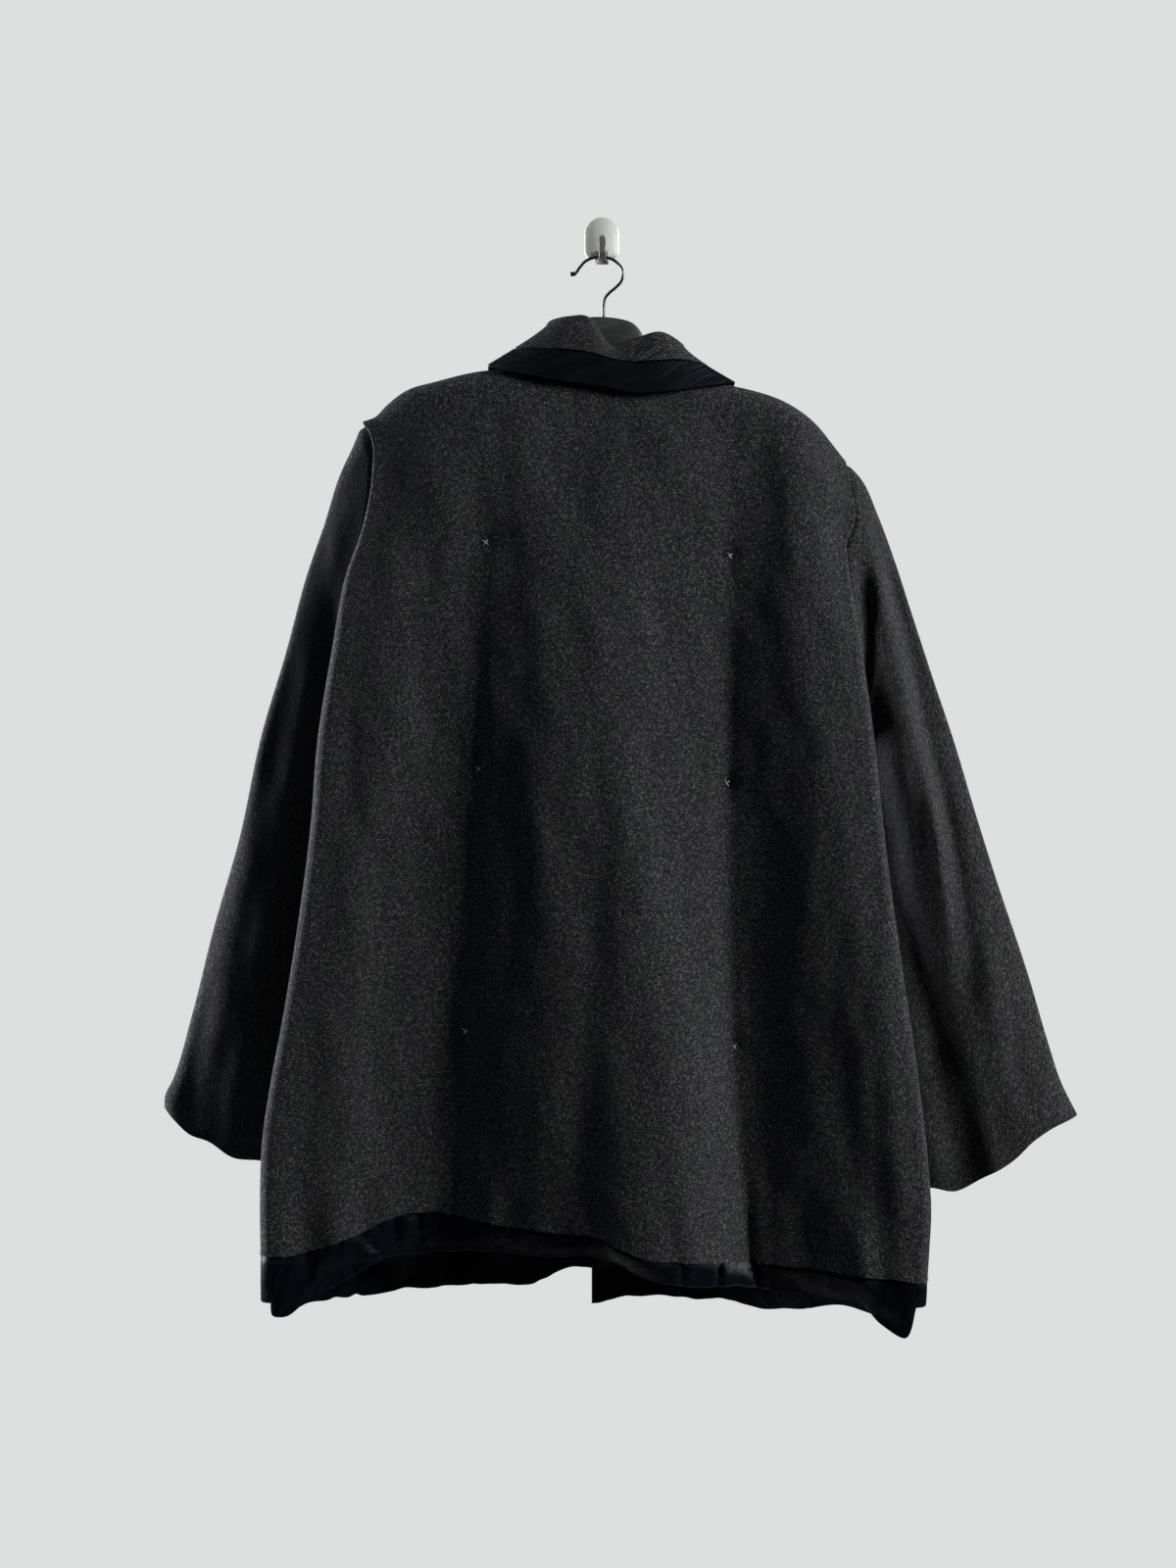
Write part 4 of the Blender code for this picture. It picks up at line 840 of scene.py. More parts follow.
def back_cloth(u, v):
    places = back(u, v)
    shifted = room_shift(places, back_relief(u, v, places))
    return scalloped(shifted, back_middle(u) * smoothstep(0.965, 1.0, v), "wool_edge")


def front_relief(side, u, v, places):
    """How far a front's wool stands towards the wall from its solid, in millimetres."""
    x, z = flat_places(places)
    edge = smoothstep(0.02, 0.16, u) * mix(1.0, 0.35, smoothstep(0.9, 1.0, u))
    height = crease_height(FRONT_CREASES[side], x, z) + unevenness(x, z, SEEDS["front"])
    return height * edge * smoothstep(0.02, 0.1, v)


def front_cloth(side, u, v):
    places = front(side, u, v)
    return underlapped(side, u, v, room_shift(places, -front_relief(side, u, v, places)))


def underlapped(side, u, v, places):
    """The left front's edge, a little way behind the right one's as a wearer sees it."""
    if side == "left":
        under = smoothstep(0.86, 1.0, u) * smoothstep(0.25, 0.5, v)
        places[..., 0] += UNDERLAP * MM * under
        places[..., 1] -= UNDERLAP_DEPTH * MM * under
    return places


def ripples(x, z, seed):
    """Small puckers of uneven width, slant and spacing."""
    rng = np.random.default_rng(seed)
    height = np.zeros_like(x)
    place = -RIPPLE_REACH
    while place < RIPPLE_REACH:
        width = rng.uniform(1.8, 4.5)
        slant = rng.uniform(-0.35, 0.35)
        amount = rng.uniform(-1.0, 0.8)
        height += amount * np.exp(-(((x - place - slant * z) / width) ** 2))
        place += rng.uniform(5.0, 15.0)
    return height


def scalloped(places, share, edge):
    """Places with their lower edge drawn up and let down a little, in uneven scallops."""
    amount, seed = SCALLOPS[edge]
    rng = np.random.default_rng(seed)
    x = places[..., 0] / MM
    height = np.zeros_like(x)
    place = -SCALLOP_REACH
    while place < SCALLOP_REACH:
        width = rng.uniform(4.0, 11.0)
        height += rng.uniform(-0.6, 1.0) * np.exp(-(((x - place) / width) ** 2))
        place += rng.uniform(9.0, 32.0)
    moved = places.copy()
    moved[..., 2] += amount * MM * share * height
    return moved


def lapped(places, t, towards_room):
    """Places with their upper edge reaching up behind the wool above."""
    lap = 1 - smoothstep(0.0, BAND_LAP_SHARE, t)
    moved = places.copy()
    moved[..., 1] -= towards_room * BAND_LAP_DEPTH * MM * lap
    moved[..., 2] += BAND_LAP * MM * lap
    return moved


def back_band_cloth(u, t):
    """The back's band with its puckers below the seam and its creases."""
    places = back_band(u, t)
    x, z = flat_places(places)
    top = back_band(u, np.zeros_like(t))[..., 2] / MM
    edge = back_middle(u)
    fade = smoothstep(0.0, 0.12, t) * (1 - 0.55 * t)
    height = ripples(x, z - top, SEEDS["back_band"]) * fade * BACK_PUCKER
    height += crease_height(BAND_CREASES, x, z)
    height += BAND_ROLL * np.exp(-(((1 - t) / BAND_ROLL_SHARE) ** 2))
    wool_edge = np.ones_like(u)
    seam = back_relief(u, wool_edge, back(u, wool_edge)) * (1 - smoothstep(0.0, RELIEF_SHARE, t))
    shifted = room_shift(places, height * edge + seam)
    shifted = scalloped(shifted, edge * (1 - smoothstep(0.0, 0.4, t)), "wool_edge")
    shifted = scalloped(shifted, edge * smoothstep(0.45, 1.0, t), "back_band")
    return lapped(shifted, t, -1)


def front_band_cloth(side, u, t):
    """A front's band with its puckers."""
    places = front_band(side, u, t)
    x, z = flat_places(places)
    edge = smoothstep(0.03, 0.1, u)
    wool_edge = np.ones_like(u)
    relief = front_relief(side, u, wool_edge, front(side, u, wool_edge))
    seam = relief * (1 - smoothstep(0.0, RELIEF_SHARE, t))
    height = ripples(x, z, SEEDS["front_band"]) * (0.35 + 0.65 * t) * smoothstep(0.0, 0.2, t)
    shifted = underlapped(side, u, wool_edge, room_shift(places, height * edge - seam))
    shifted = scalloped(shifted, edge * smoothstep(0.35, 1.0, t), "front_band")
    return lapped(shifted, t, 1)


def sleeve_cloth(side, u, w):
    """A sleeve with its creases, its seam reaching into the armhole."""
    places = sleeve(side, u, w)
    x, z = flat_places(places)
    sine = np.sin(2 * math.pi * u)
    mask = np.minimum(np.abs(sine) * 1.8, 1.0) * smoothstep(0.03, 0.14, w)
    room = crease_height(SLEEVE_CREASES[side, "room"], x, z)
    wall_side = crease_height(SLEEVE_CREASES[side, "wall"], x, z)
    height = np.where(sine > 0, room, -wall_side) + unevenness(x, z, SEEDS["sleeve"])
    places = room_shift(places, height * mask)
    allowance = 1 - smoothstep(0, 0.012, w)
    places[..., 0] -= outward(side) * allowance * SEAM_ALLOWANCE * MM
    middle_y = -(HANG_DEPTH + 4) * MM
    places[..., 1] += (middle_y - places[..., 1]) * allowance * 0.35
    return places


# --- Meshes -----------------------------------------------------------------------------------

CLOTH_SHARP = 60  # degrees from which an edge of cloth is drawn sharp
PLAIN_SHARP = 50

# The outer side of each piece: 1 where its grid's normals point out of the garment.
OUTER_SIDE = {
    "back": -1, "front_left": 1, "front_right": -1, "sleeve_left": -1, "sleeve_right": 1,
    "collar": -1,
}


def grid_normals(places, wrap):
    """Unit normals of a grid of places."""
    if wrap:
        padded = np.concatenate([places[:, -1:], places, places[:, :1]], axis=1)
        across = (padded[:, 2:] - padded[:, :-2]) / 2
    else:
        across = np.gradient(places, axis=1)
    normal = np.cross(across, np.gradient(places, axis=0))
    return normal / np.maximum(np.linalg.norm(normal, axis=-1, keepdims=True), 1e-12)


def lengths(places, axis):
    """Running length along one axis of a grid of places."""
    steps = np.linalg.norm(np.diff(places, axis=axis), axis=-1)
    start = np.zeros_like(np.take(steps, [0], axis=axis))
    return np.concatenate([start, np.cumsum(steps, axis=axis)], axis=axis)


def finished(name, mesh, node, sharp):
    """Puts a mesh in the frame as a piece, its faces turned outwards and smooth."""
    shape = bmesh.new()
    shape.from_mesh(mesh)
    bmesh.ops.recalc_face_normals(shape, faces=shape.faces)
    shape.to_mesh(mesh)
    shape.free()
    mesh.shade_smooth()
    mesh.set_sharp_from_angle(angle=math.radians(sharp))
    made = bpy.data.objects.new(name, mesh)
    bpy.context.scene.collection.objects.link(made)
    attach(made, "root")
    if node:
        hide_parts(node)
    return made


def cloth(node, places, wrap=False, outer_side=None, satin=False):
    """A thin closed shell of wool, or of satin, on a grid of places, with flat cloth coordinates.

    The outer side is 1 where the grid's normals point out of the garment and else -1. Where it is
    given, the other side shows the wool's inside.
    """
    name = f"{node}_satin" if satin else f"{node}_cloth"
    thickness, look = (SATIN, SATIN_LOOK) if satin else (WOOL, WOOL_LOOK)
    down, across = places.shape[:2]
    far = down * across
    offset = grid_normals(places, wrap) * thickness / 2 * MM
    vertices = np.concatenate([(places + offset).reshape(-1, 3), (places - offset).reshape(-1, 3)])
    last = across if wrap else across - 1
    i, j = np.meshgrid(np.arange(down - 1), np.arange(last), indexing="ij")
    a = (i * across + j).ravel()
    b = (i * across + (j + 1) % across).ravel()
    c, d = b + across, a + across
    faces = [np.stack([a, b, c, d], axis=1), np.stack([d, c, b, a], axis=1) + far]
    for rim in rims(down, across, last, wrap):
        rim = np.array(rim)
        faces.append(np.stack([rim[:, 0], rim[:, 0] + far, rim[:, 1] + far, rim[:, 1]], axis=1))
    side_count = len(faces[0])
    faces = np.concatenate(faces)
    mesh = bpy.data.meshes.new(name)
    mesh.vertices.add(len(vertices))
    mesh.vertices.foreach_set("co", vertices.ravel())
    mesh.loops.add(faces.size)
    mesh.loops.foreach_set("vertex_index", faces.ravel())
    mesh.polygons.add(len(faces))
    mesh.polygons.foreach_set("loop_start", np.arange(0, faces.size, 4))
    mesh.update(calc_edges=True)
    flat = np.stack([lengths(places, 1), -lengths(places, 0)], axis=-1)
    flat = np.concatenate([flat.reshape(-1, 2)] * 2)
    layer = mesh.uv_layers.new(name="cloth")
    layer.data.foreach_set("uv", flat[faces.ravel()].ravel())
    mesh.materials.append(look)
    if outer_side is not None:
        mesh.materials.append(WOOL_INSIDE)
        index = np.zeros(len(faces), int)
        start = side_count if outer_side > 0 else 0
        index[start : start + side_count] = 1
        mesh.polygons.foreach_set("material_index", index)
    return finished(name, mesh, node, CLOTH_SHARP)


def plain_mesh(name, vertices, faces, look, slot, node=None):
    """A piece of one material from vertices and faces."""
    mesh = bpy.data.meshes.new(name)
    mesh.from_pydata([tuple(p) for p in vertices], [], faces)
    mesh.materials.append(look)
    return finished(name, mesh, node, PLAIN_SHARP)


def lofted(rings, closed=False, caps=True):
    """Vertices and faces of a skin over rings of places, capped unless it closes on itself."""
    count, around = len(rings), len(rings[0])
    faces = []
    for i in range(count if closed else count - 1):
        low, high = i * around, (i + 1) % count * around
        for k in range(around):
            after = (k + 1) % around
            faces.append((low + k, low + after, high + after, high + k))
    if caps and not closed:
        faces.append(tuple(range(around))[::-1])
        faces.append(tuple(range((count - 1) * around, count * around)))
    return np.concatenate(rings), faces


def tube_parts(route, radius, sides, thickness=None, closed=False):
    """Vertices and faces of a round bar along places in metres."""
    route = np.asarray(route, float)
    if closed:
        tangent = np.roll(route, -1, axis=0) - np.roll(route, 1, axis=0)
    else:
        tangent = np.gradient(route, axis=0)
    tangent /= np.linalg.norm(tangent, axis=1, keepdims=True)
    up = np.array([0.0, 1.0, 0.0])
    if abs(tangent[0] @ up) > 0.9:
        up = np.array([1.0, 0.0, 0.0])
    angle = 2 * math.pi * np.arange(sides)[:, None] / sides
    rings = []
    for i, place in enumerate(route):
        side = np.cross(up, tangent[i])
        side /= np.linalg.norm(side)
        up = np.cross(tangent[i], side)
        size = radius * (1.0 if thickness is None else thickness[i])
        rings.append(place + size * (side * np.cos(angle) + up * np.sin(angle)))
    return lofted(rings, closed)


def joined(parts):
    """The vertices and faces of several parts as one."""
    vertices, faces = [], []
    for part_vertices, part_faces in parts:
        offset = len(vertices)
        vertices.extend(part_vertices)
        faces.extend(tuple(k + offset for k in face) for face in part_faces)
    return vertices, faces


# --- Materials --------------------------------------------------------------------------------

# Pairs of colours run from dark to pale. The wool's third one is its light fibres.
WOOL_SHADES = [(0.0045, 0.0045, 0.0050), (0.0312, 0.0314, 0.0340), (0.190, 0.190, 0.193)]
WOOL_TINTS = [(1.04, 0.99, 1.05), (0.96, 1.02, 0.99)]
# The satin's pale shade is partly the cloth's own tone and partly painted sheen.
SATIN_SHADES = [(0.0007, 0.0010, 0.0025), (0.0032, 0.0036, 0.0070)]
FIBRE_SHADES = [(0.030, 0.030, 0.032), (0.20, 0.2, 0.205)]
CORD_SHADES = [(0.005, 0.005, 0.0075), (0.018, 0.017, 0.023)]
THREAD_SHADES = [(0.32, 0.32, 0.33), (0.56, 0.56, 0.57)]
PLASTIC_SHADES = [(0.026, 0.027, 0.027), (0.044, 0.045, 0.044)]
WIRE_SHADES = [(0.006, 0.006, 0.007), (0.016, 0.016, 0.017)]
PLATE_SHADES = [(0.64, 0.64, 0.6), (0.80, 0.8, 0.76)]
# The peg is the plate's own steel, painted far darker: painted shade and a painted dark reflection.
PEG_PAINTED_SHADE_SHADES = [(0.12, 0.12, 0.12), (0.22, 0.22, 0.21)]
FLOOR_SHADES = [(0.15, 0.155, 0.15), (0.18, 0.185, 0.18)]

# The wool's light fibres: their directions in degrees, and a threshold, higher for fewer of them.
HAIR_LINES = [(18, 0.64), (67, 0.655), (-38, 0.645), (-78, 0.66)]


class Look:
    """A node material under construction."""

    def __init__(self, name, **values):
        self.material = bpy.data.materials.new(name)
        self.material.use_nodes = True
        self.tree = self.material.node_tree
        self.shader = self.tree.nodes["Principled BSDF"]
        for socket, value in values.items():
            self.shader.inputs[socket.replace("_", " ")].default_value = value

    def node(self, kind, **values):
        made = self.tree.nodes.new(kind)
        for name, value in values.items():
            if hasattr(made, name):
                setattr(made, name, value)
            else:
                made.inputs[name.replace("_", " ")].default_value = value
        return made

    def link(self, source, target):
        self.tree.links.new(source, target)

    def feed(self, socket, value):
        """Links a value to a socket of the material's shader."""
        self.link(value, self.shader.inputs[socket])

    def mapping(self, source, setting, value):
        """A vector turned or scaled."""
        made = self.node("ShaderNodeMapping", vector_type="POINT")
        made.inputs[setting].default_value = value
        self.link(source, made.inputs["Vector"])
        return made.outputs["Vector"]

    def uv(self, scale, angle=0.0):
        """Cloth coordinates times a scale per millimetre, turned by an angle in degrees."""
        source = self.node("ShaderNodeUVMap", uv_map="cloth").outputs["UV"]
        turned = self.mapping(source, "Rotation", (0, 0, math.radians(angle)))
        return self.mapping(turned, "Scale", (scale[0] / MM, scale[1] / MM, 1))

    def around(self, *scale):
        """The object's own coordinates times a scale per millimetre."""
        source = self.node("ShaderNodeTexCoord").outputs["Object"]
        return self.mapping(source, "Scale", tuple(s / MM for s in scale))

    def noise(self, vector, detail=2.0, roughness=0.5, distortion=0.0):
        made = self.node(
            "ShaderNodeTexNoise",
            Scale=1.0, Detail=detail, Roughness=roughness, Distortion=distortion,
        )
        self.link(vector, made.inputs["Vector"])
        return made.outputs["Fac"]

    def wave(self, vector, direction, distortion, detail):
        made = self.node(
            "ShaderNodeTexWave",
            bands_direction=direction, Scale=1.0, Distortion=distortion, Detail=detail,
        )
        self.link(vector, made.inputs["Vector"])
        return made.outputs["Fac"]

    def ramp(self, value, low, high, out_low=0.0, out_high=1.0):
        """A value eased from one range into another."""
        made = self.node("ShaderNodeMapRange", interpolation_type="SMOOTHSTEP")
        limits = {"From Min": low, "From Max": high, "To Min": out_low, "To Max": out_high}
        for socket, limit in limits.items():
            made.inputs[socket].default_value = limit
        self.link(value, made.inputs["Value"])
        return made.outputs["Result"]

    def put(self, value, socket):
        """Sets a socket to a number or a colour, or links a value to it."""
        if isinstance(value, (int, float)):
            socket.default_value = value
        elif isinstance(value, tuple):
            socket.default_value = (*value, 1)
        else:
            self.link(value, socket)

    def maths(self, operation, *values):
        made = self.node("ShaderNodeMath", operation=operation)
        for socket, value in zip(made.inputs, values):
            self.put(value, socket)
        return made.outputs["Value"]

    def blend(self, factor, a, b, kind="MIX"):
        made = self.node("ShaderNodeMix", data_type="RGBA", blend_type=kind)
        for index, value in ((0, factor), (6, a), (7, b)):
            self.put(value, made.inputs[index])
        return made.outputs[2]

    def bump(self, height, distance, strength=1.0, under=None):
        """A bump with its height in millimetres, over another one if given."""
        made = self.node("ShaderNodeBump", Strength=strength, Distance=distance * MM)
        self.link(height, made.inputs["Height"])
        if under is not None:
            self.link(under, made.inputs["Normal"])
        return made.outputs["Normal"]


def shades(colours, lightness):
    return [tuple(lightness * c for c in colour) for colour in colours]


def wool_look(name, lightness=1.0):
    """Melange wool: dark fibres with paler and a few light ones, felted over a fine twill."""
    look = Look(name, Roughness=0.95, Sheen_Weight=0.02, Sheen_Roughness=0.4, Specular_IOR_Level=0.04)
    look.shader.inputs["Sheen Tint"].default_value = (0.75, 0.76, 0.78, 1)
    clump = look.noise(look.uv((0.45, 0.30)), detail=3, roughness=0.65)
    grain = look.noise(look.uv((0.95, 0.75), 12), detail=2, roughness=0.7)
    hairs = None
    for angle, threshold in HAIR_LINES:
        line = look.noise(look.uv((0.22, 1.5), angle), detail=1)
        line = look.ramp(line, threshold, threshold + 0.07)
        hairs = line if hairs is None else look.maths("MAXIMUM", hairs, line)
    tint = look.noise(look.uv((0.022, 0.017)))
    twill = look.wave(look.uv((0.42, 0.42), 28), "X", 1.4, 1.5)
    dark, mid, pale = shades(WOOL_SHADES, lightness)
    amount = look.maths("MULTIPLY_ADD", grain, 1.0, look.maths("MULTIPLY", clump, 0.65))
    base = look.blend(look.ramp(amount, 0.62, 1.05), dark, mid)
    cool = look.blend(look.ramp(tint, 0.35, 0.65), *WOOL_TINTS)
    tinted = look.blend(1.0, base, cool, "MULTIPLY")
    look.feed("Base Color", look.blend(look.maths("MULTIPLY", hairs, 0.75), tinted, pale))
    felt = look.maths("ADD", grain, look.maths("MULTIPLY", hairs, 0.6))
    normal = look.bump(look.maths("MULTIPLY_ADD", twill, 0.25, felt), 0.35, 0.8)
    broad = look.noise(look.uv((0.09, 0.07)), detail=3)
    look.feed("Normal", look.bump(broad, 1.2, 0.5, normal))
    return look.material


def satin_look(name, lightness=1.0):
    """Black satin with a soft gloss, fine crumples, and paler patches partly painted as sheen."""
    look = Look(name, Roughness=0.42, Specular_IOR_Level=0.075, Anisotropic=0.4)
    broad = look.noise(look.uv((0.05, 0.03)), detail=4, roughness=0.55)
    fine = look.noise(look.uv((0.25, 3.2)))
    dark, pale = shades(SATIN_SHADES, lightness)
    colour = look.blend(look.ramp(broad, 0.3, 0.7), dark, pale)
    # Fine streaks paler than the pale shade: random tone of the weave, partly painted sheen.
    paler_streak_and_sheen = tuple(1.6 * c for c in pale)
    look.feed("Base Color", look.blend(look.maths("MULTIPLY", fine, 0.35), colour, paler_streak_and_sheen))
    crumple = look.noise(look.uv((0.11, 0.045), 8), detail=3, roughness=0.6, distortion=0.6)
    look.feed("Normal", look.bump(crumple, 2.2, 0.65, look.bump(fine, 0.06, 0.5)))
    look.feed("Roughness", look.ramp(broad, 0.2, 0.8, 0.36, 0.5))
    return look.material


def fibre_look(name):
    """Single grey fibres, some dark and some light."""
    look = Look(name, Roughness=0.8, Sheen_Weight=0.1, Specular_IOR_Level=0.1)
    kind = look.noise(look.around(0.35, 0.35, 0.35))
    look.feed("Base Color", look.blend(look.ramp(kind, 0.42, 0.62), *FIBRE_SHADES))
    return look.material


def cord_look(name):
    """Twisted satin cord."""
    look = Look(name, Roughness=0.4, Sheen_Weight=0.15, Specular_IOR_Level=0.45)
    twist = look.wave(look.around(0.22, 0.22, 0.22), "DIAGONAL", 0.6, 1.0)
    look.feed("Base Color", look.blend(twist, *CORD_SHADES))
    look.feed("Normal", look.bump(twist, 0.5, 0.9))
    return look.material


def thread_look(name):
    """Pale tacking thread."""
    look = Look(name, Roughness=0.7, Sheen_Weight=0.3)
    twist = look.noise(look.around(1.2, 1.2, 1.2), detail=3)
    look.feed("Base Color", look.blend(look.ramp(twist, 0.3, 0.7), *THREAD_SHADES))
    look.feed("Normal", look.bump(twist, 0.1, 0.6))
    return look.material


def plastic_look(name):
    """Dark moulded plastic with a fine grain and slight scuffs."""
    look = Look(name, Roughness=0.5, Specular_IOR_Level=0.5)
    grain = look.noise(look.around(1.1, 1.1, 1.1), detail=3)
    scuff = look.noise(look.around(0.04, 0.3, 0.09), detail=4)
    look.feed("Base Color", look.blend(look.ramp(scuff, 0.45, 0.75), *PLASTIC_SHADES))
    look.feed("Roughness", look.ramp(scuff, 0.3, 0.8, 0.42, 0.6))
    look.feed("Normal", look.bump(grain, 0.04, 0.5))
    return look.material


def wire_look(name):
    """Black lacquered wire, a little uneven."""
    look = Look(name, Roughness=0.32, Specular_IOR_Level=0.5, Coat_Weight=0.2)
    uneven = look.noise(look.around(0.5, 0.5, 0.5), detail=3)
    look.feed("Base Color", look.blend(look.ramp(uneven, 0.35, 0.75), *WIRE_SHADES))
    look.feed("Roughness", look.ramp(uneven, 0.3, 0.8, 0.26, 0.42))
    look.feed("Normal", look.bump(uneven, 0.05, 0.5))
    return look.material


def steel_look(name, low, high):
    """Brushed steel between two shades, the brush marks running up and down."""
    look = Look(name, Metallic=0.3, Roughness=0.42, Anisotropic=0.5)
    brush = look.noise(look.around(3.0, 3.0, 0.05), detail=3, roughness=0.6)
    cloud = look.noise(look.around(0.05, 0.05, 0.05))
    look.feed("Base Color", look.blend(look.ramp(brush, 0.3, 0.7), low, high))
    worn = look.ramp(brush, 0.2, 0.8, 0.26, 0.44)
    look.feed("Roughness", look.maths("MULTIPLY_ADD", cloud, 0.12, worn))
    look.feed("Normal", look.bump(brush, 0.03, 0.5))
    return look.material


def floor_look(name):
    """A grey floor with faint specks."""
    look = Look(name, Roughness=0.9, Specular_IOR_Level=0.1)
    speckle = look.noise(look.around(0.02, 0.02, 0.02), detail=3)
    look.feed("Base Color", look.blend(speckle, *FLOOR_SHADES))
    return look.material


WOOL_LOOK = wool_look("wool_melange")
WOOL_INSIDE = wool_look("wool_inside", 0.8)
SATIN_LOOK = satin_look("satin_black")
CORD_LOOK = cord_look("frog_cord")
THREAD_LOOK = thread_look("tack_thread")
# A satin 3.5 times paler, for the painted highlight along the back band's lower edge.
FOLD_HIGHLIGHT_LOOK = satin_look("satin_fold_painted_highlight", 3.5)
FIBRE_LOOK = fibre_look("wool_fibre")
PLASTIC_LOOK = plastic_look("hanger_plastic")
WIRE_LOOK = wire_look("hook_wire")
STEEL_LOOK = steel_look("plate_steel", *PLATE_SHADES)
PEG_PAINTED_SHADE_LOOK = steel_look("peg_steel_painted_shade", *PEG_PAINTED_SHADE_SHADES)


# --- The pieces -------------------------------------------------------------------------------

# The grid of each kind of cloth, across and then down: its lines, and the power by which they
# crowd towards its start.
GRIDS = {
    "back": ((170, 1), (200, 1.25)),
    "front": ((96, 1.1), (170, 1.3)),
    "sleeve": ((141, 1), (150, 1.2)),
    "collar": ((220, 1), (42, 1)),
    "collar_band": ((220, 1), (14, 1)),
    "hem_band_back": ((420, 1), (26, 1)),
    "hem_band_front": ((200, 1.1), (20, 1)),
}

# The fold pressed into the back band's lower edge, a pale tube as a painted highlight.
BEAD_REACH = (-262, 214)  # where it shows, in x
BEAD_RADIUS = 0.45
BEAD_TURNED_COLUMNS = 60  # the grid's columns at each end that turn round the side

# The plate's rings from the wall outwards: how far each lies inside its outline, and its depth.
PLATE_EDGE = [
    (0.0, 0.0), (0.0, PLATE_THICKNESS - 0.5), (0.15, PLATE_THICKNESS - 0.2), (0.5, PLATE_THICKNESS),
]
# Corners of the peg's section, in halves of its width and thickness.
PEG_CORNERS = [
    (-1, -0.5), (-0.93, -1), (0.93, -1), (1, -0.5), (1, 0.5), (0.93, 1), (-0.93, 1), (-1, 0.5),
]

TACK_HALF = 3.7  # half the length of a tack's thread
TACK_RADIUS = 0.42

# Where fibres stand off the wool: the piece, how many, and the share of them along its edges.
FUZZ = [
    ("back", 9000, 0.35), ("sleeve_left", 3200, 0), ("sleeve_right", 3200, 0),
    ("front_left", 2400, 0), ("front_right", 2400, 0), ("collar", 1200, 0),
]
FUZZ_EDGE_WIDTH = 0.12  # share of the back's width that counts as its edge
FUZZ_HEM_SHARE = 0.12  # share of a piece's fibres that stand at its lower edge
FIBRE_LEAN = 0.75
FIBRE_HALF_WIDTH = 0.045


def grid(surface, kind, wrap=False):
    """Places on a surface, at the columns and rows of its kind of piece."""
    (across, crowd_across), (down, crowd_down) = GRIDS[kind]
    columns = np.linspace(0, 1, across) ** crowd_across
    rows = np.linspace(0, 1, down) ** crowd_down
    u, v = np.meshgrid(columns[:-1] if wrap else columns, rows)
    return surface(u, v)


def make_panels():
    """The back, the fronts and the sleeves, each with its grid of places."""
    surfaces = {"back": back_cloth}
    for side in ("left", "right"):
        surfaces[f"front_{side}"] = partial(front_cloth, side)
        surfaces[f"sleeve_{side}"] = partial(sleeve_cloth, side)
    made = {}
    for node, surface in surfaces.items():
        kind = node.split("_")[0]
        places = grid(surface, kind, kind == "sleeve")
        made[node] = (cloth(node, places, kind == "sleeve", OUTER_SIDE[node]), places)
    return made


def make_collar():
    """The collar's wool and the satin band round its edge."""
    places = grid(collar_cloth, "collar")
    band = grid(collar_edge, "collar_band")
    return {
        "collar": (cloth("collar", places), places),
        "collar_band": (cloth("collar_band", band, satin=True), band),
    }


def make_hem_bands():
    """The satin bands of the back's and the fronts' hems."""
    surfaces = {"hem_band_back": back_band_cloth}
    for side in ("left", "right"):
        surfaces[f"hem_band_front_{side}"] = partial(front_band_cloth, side)
    made = {}
    for node, surface in surfaces.items():
        places = grid(surface, "hem_band_back" if node == "hem_band_back" else "hem_band_front")
        made[node] = (cloth(node, places, satin=True), places)
    return made


def make_bead(places):
    """The pressed fold along the back band's lower edge, a pale tube as a painted highlight."""
    edge = places[-1]
    turned = BEAD_TURNED_COLUMNS
    start, end = (np.searchsorted(edge[turned:-turned, 0], x * MM) + turned for x in BEAD_REACH)
    route = edge[start:end].copy()
    route[:, 1] -= (SATIN / 2 + 0.1) * MM
    route[:, 2] += 0.5 * MM
    plain_mesh("hem_band_painted_highlight", *tube_parts(route, BEAD_RADIUS * MM, 6), FOLD_HIGHLIGHT_LOOK, "satin")


def squared(wave):
    """A sine or cosine drawn out towards the corners of the hanger's section."""
    return np.sign(wave) * np.abs(wave) ** HANGER_SQUARENESS


def make_hanger():
    """The hanger's moulded body, hanging at a slight tilt."""
    other_half = [(-across, *rest) for across, *rest in reversed(HANGER_SECTIONS[1:])]
    angle = np.linspace(0, 2 * math.pi, 33)[:-1]
    turn = np.array([math.cos(HANGER_TILT), math.sin(HANGER_TILT)])
    rings = []
    rows = spline(other_half + HANGER_SECTIONS, np.linspace(0, 1, 180))
    for across, top, bottom, half_depth in rows:
        z = (top + bottom) / 2 + (top - bottom) / 2 * squared(np.sin(angle))
        x = HANGER_TOP[0] + across * turn[0] + z * turn[1]
        height = HANGER_TOP[1] + z * turn[0] - across * turn[1]
        rings.append(points(x, HANG_DEPTH + half_depth * squared(np.cos(angle)), height))
    plain_mesh("hanger_moulding", *lofted(rings), PLASTIC_LOOK, "hanger_plastic", "hanger_body")


def make_hanger_wire():
    """The hanger's wire hook with its rolled end."""
    share = np.linspace(0, 1, 120)
    route = spline(WIRE_ROUTE, share)
    knob_end = 1 - smoothstep(WIRE_KNOB_SHARE * 0.7, WIRE_KNOB_SHARE, share)
    thickness = 1 + (WIRE_KNOB - 1) * knob_end
    places = points(route[:, 0], HANG_DEPTH, route[:, 1])
    parts = tube_parts(places, WIRE_RADIUS * MM, 14, thickness)
    plain_mesh("hanger_hook_wire", *parts, WIRE_LOOK, "hook_wire", "hanger_wire")


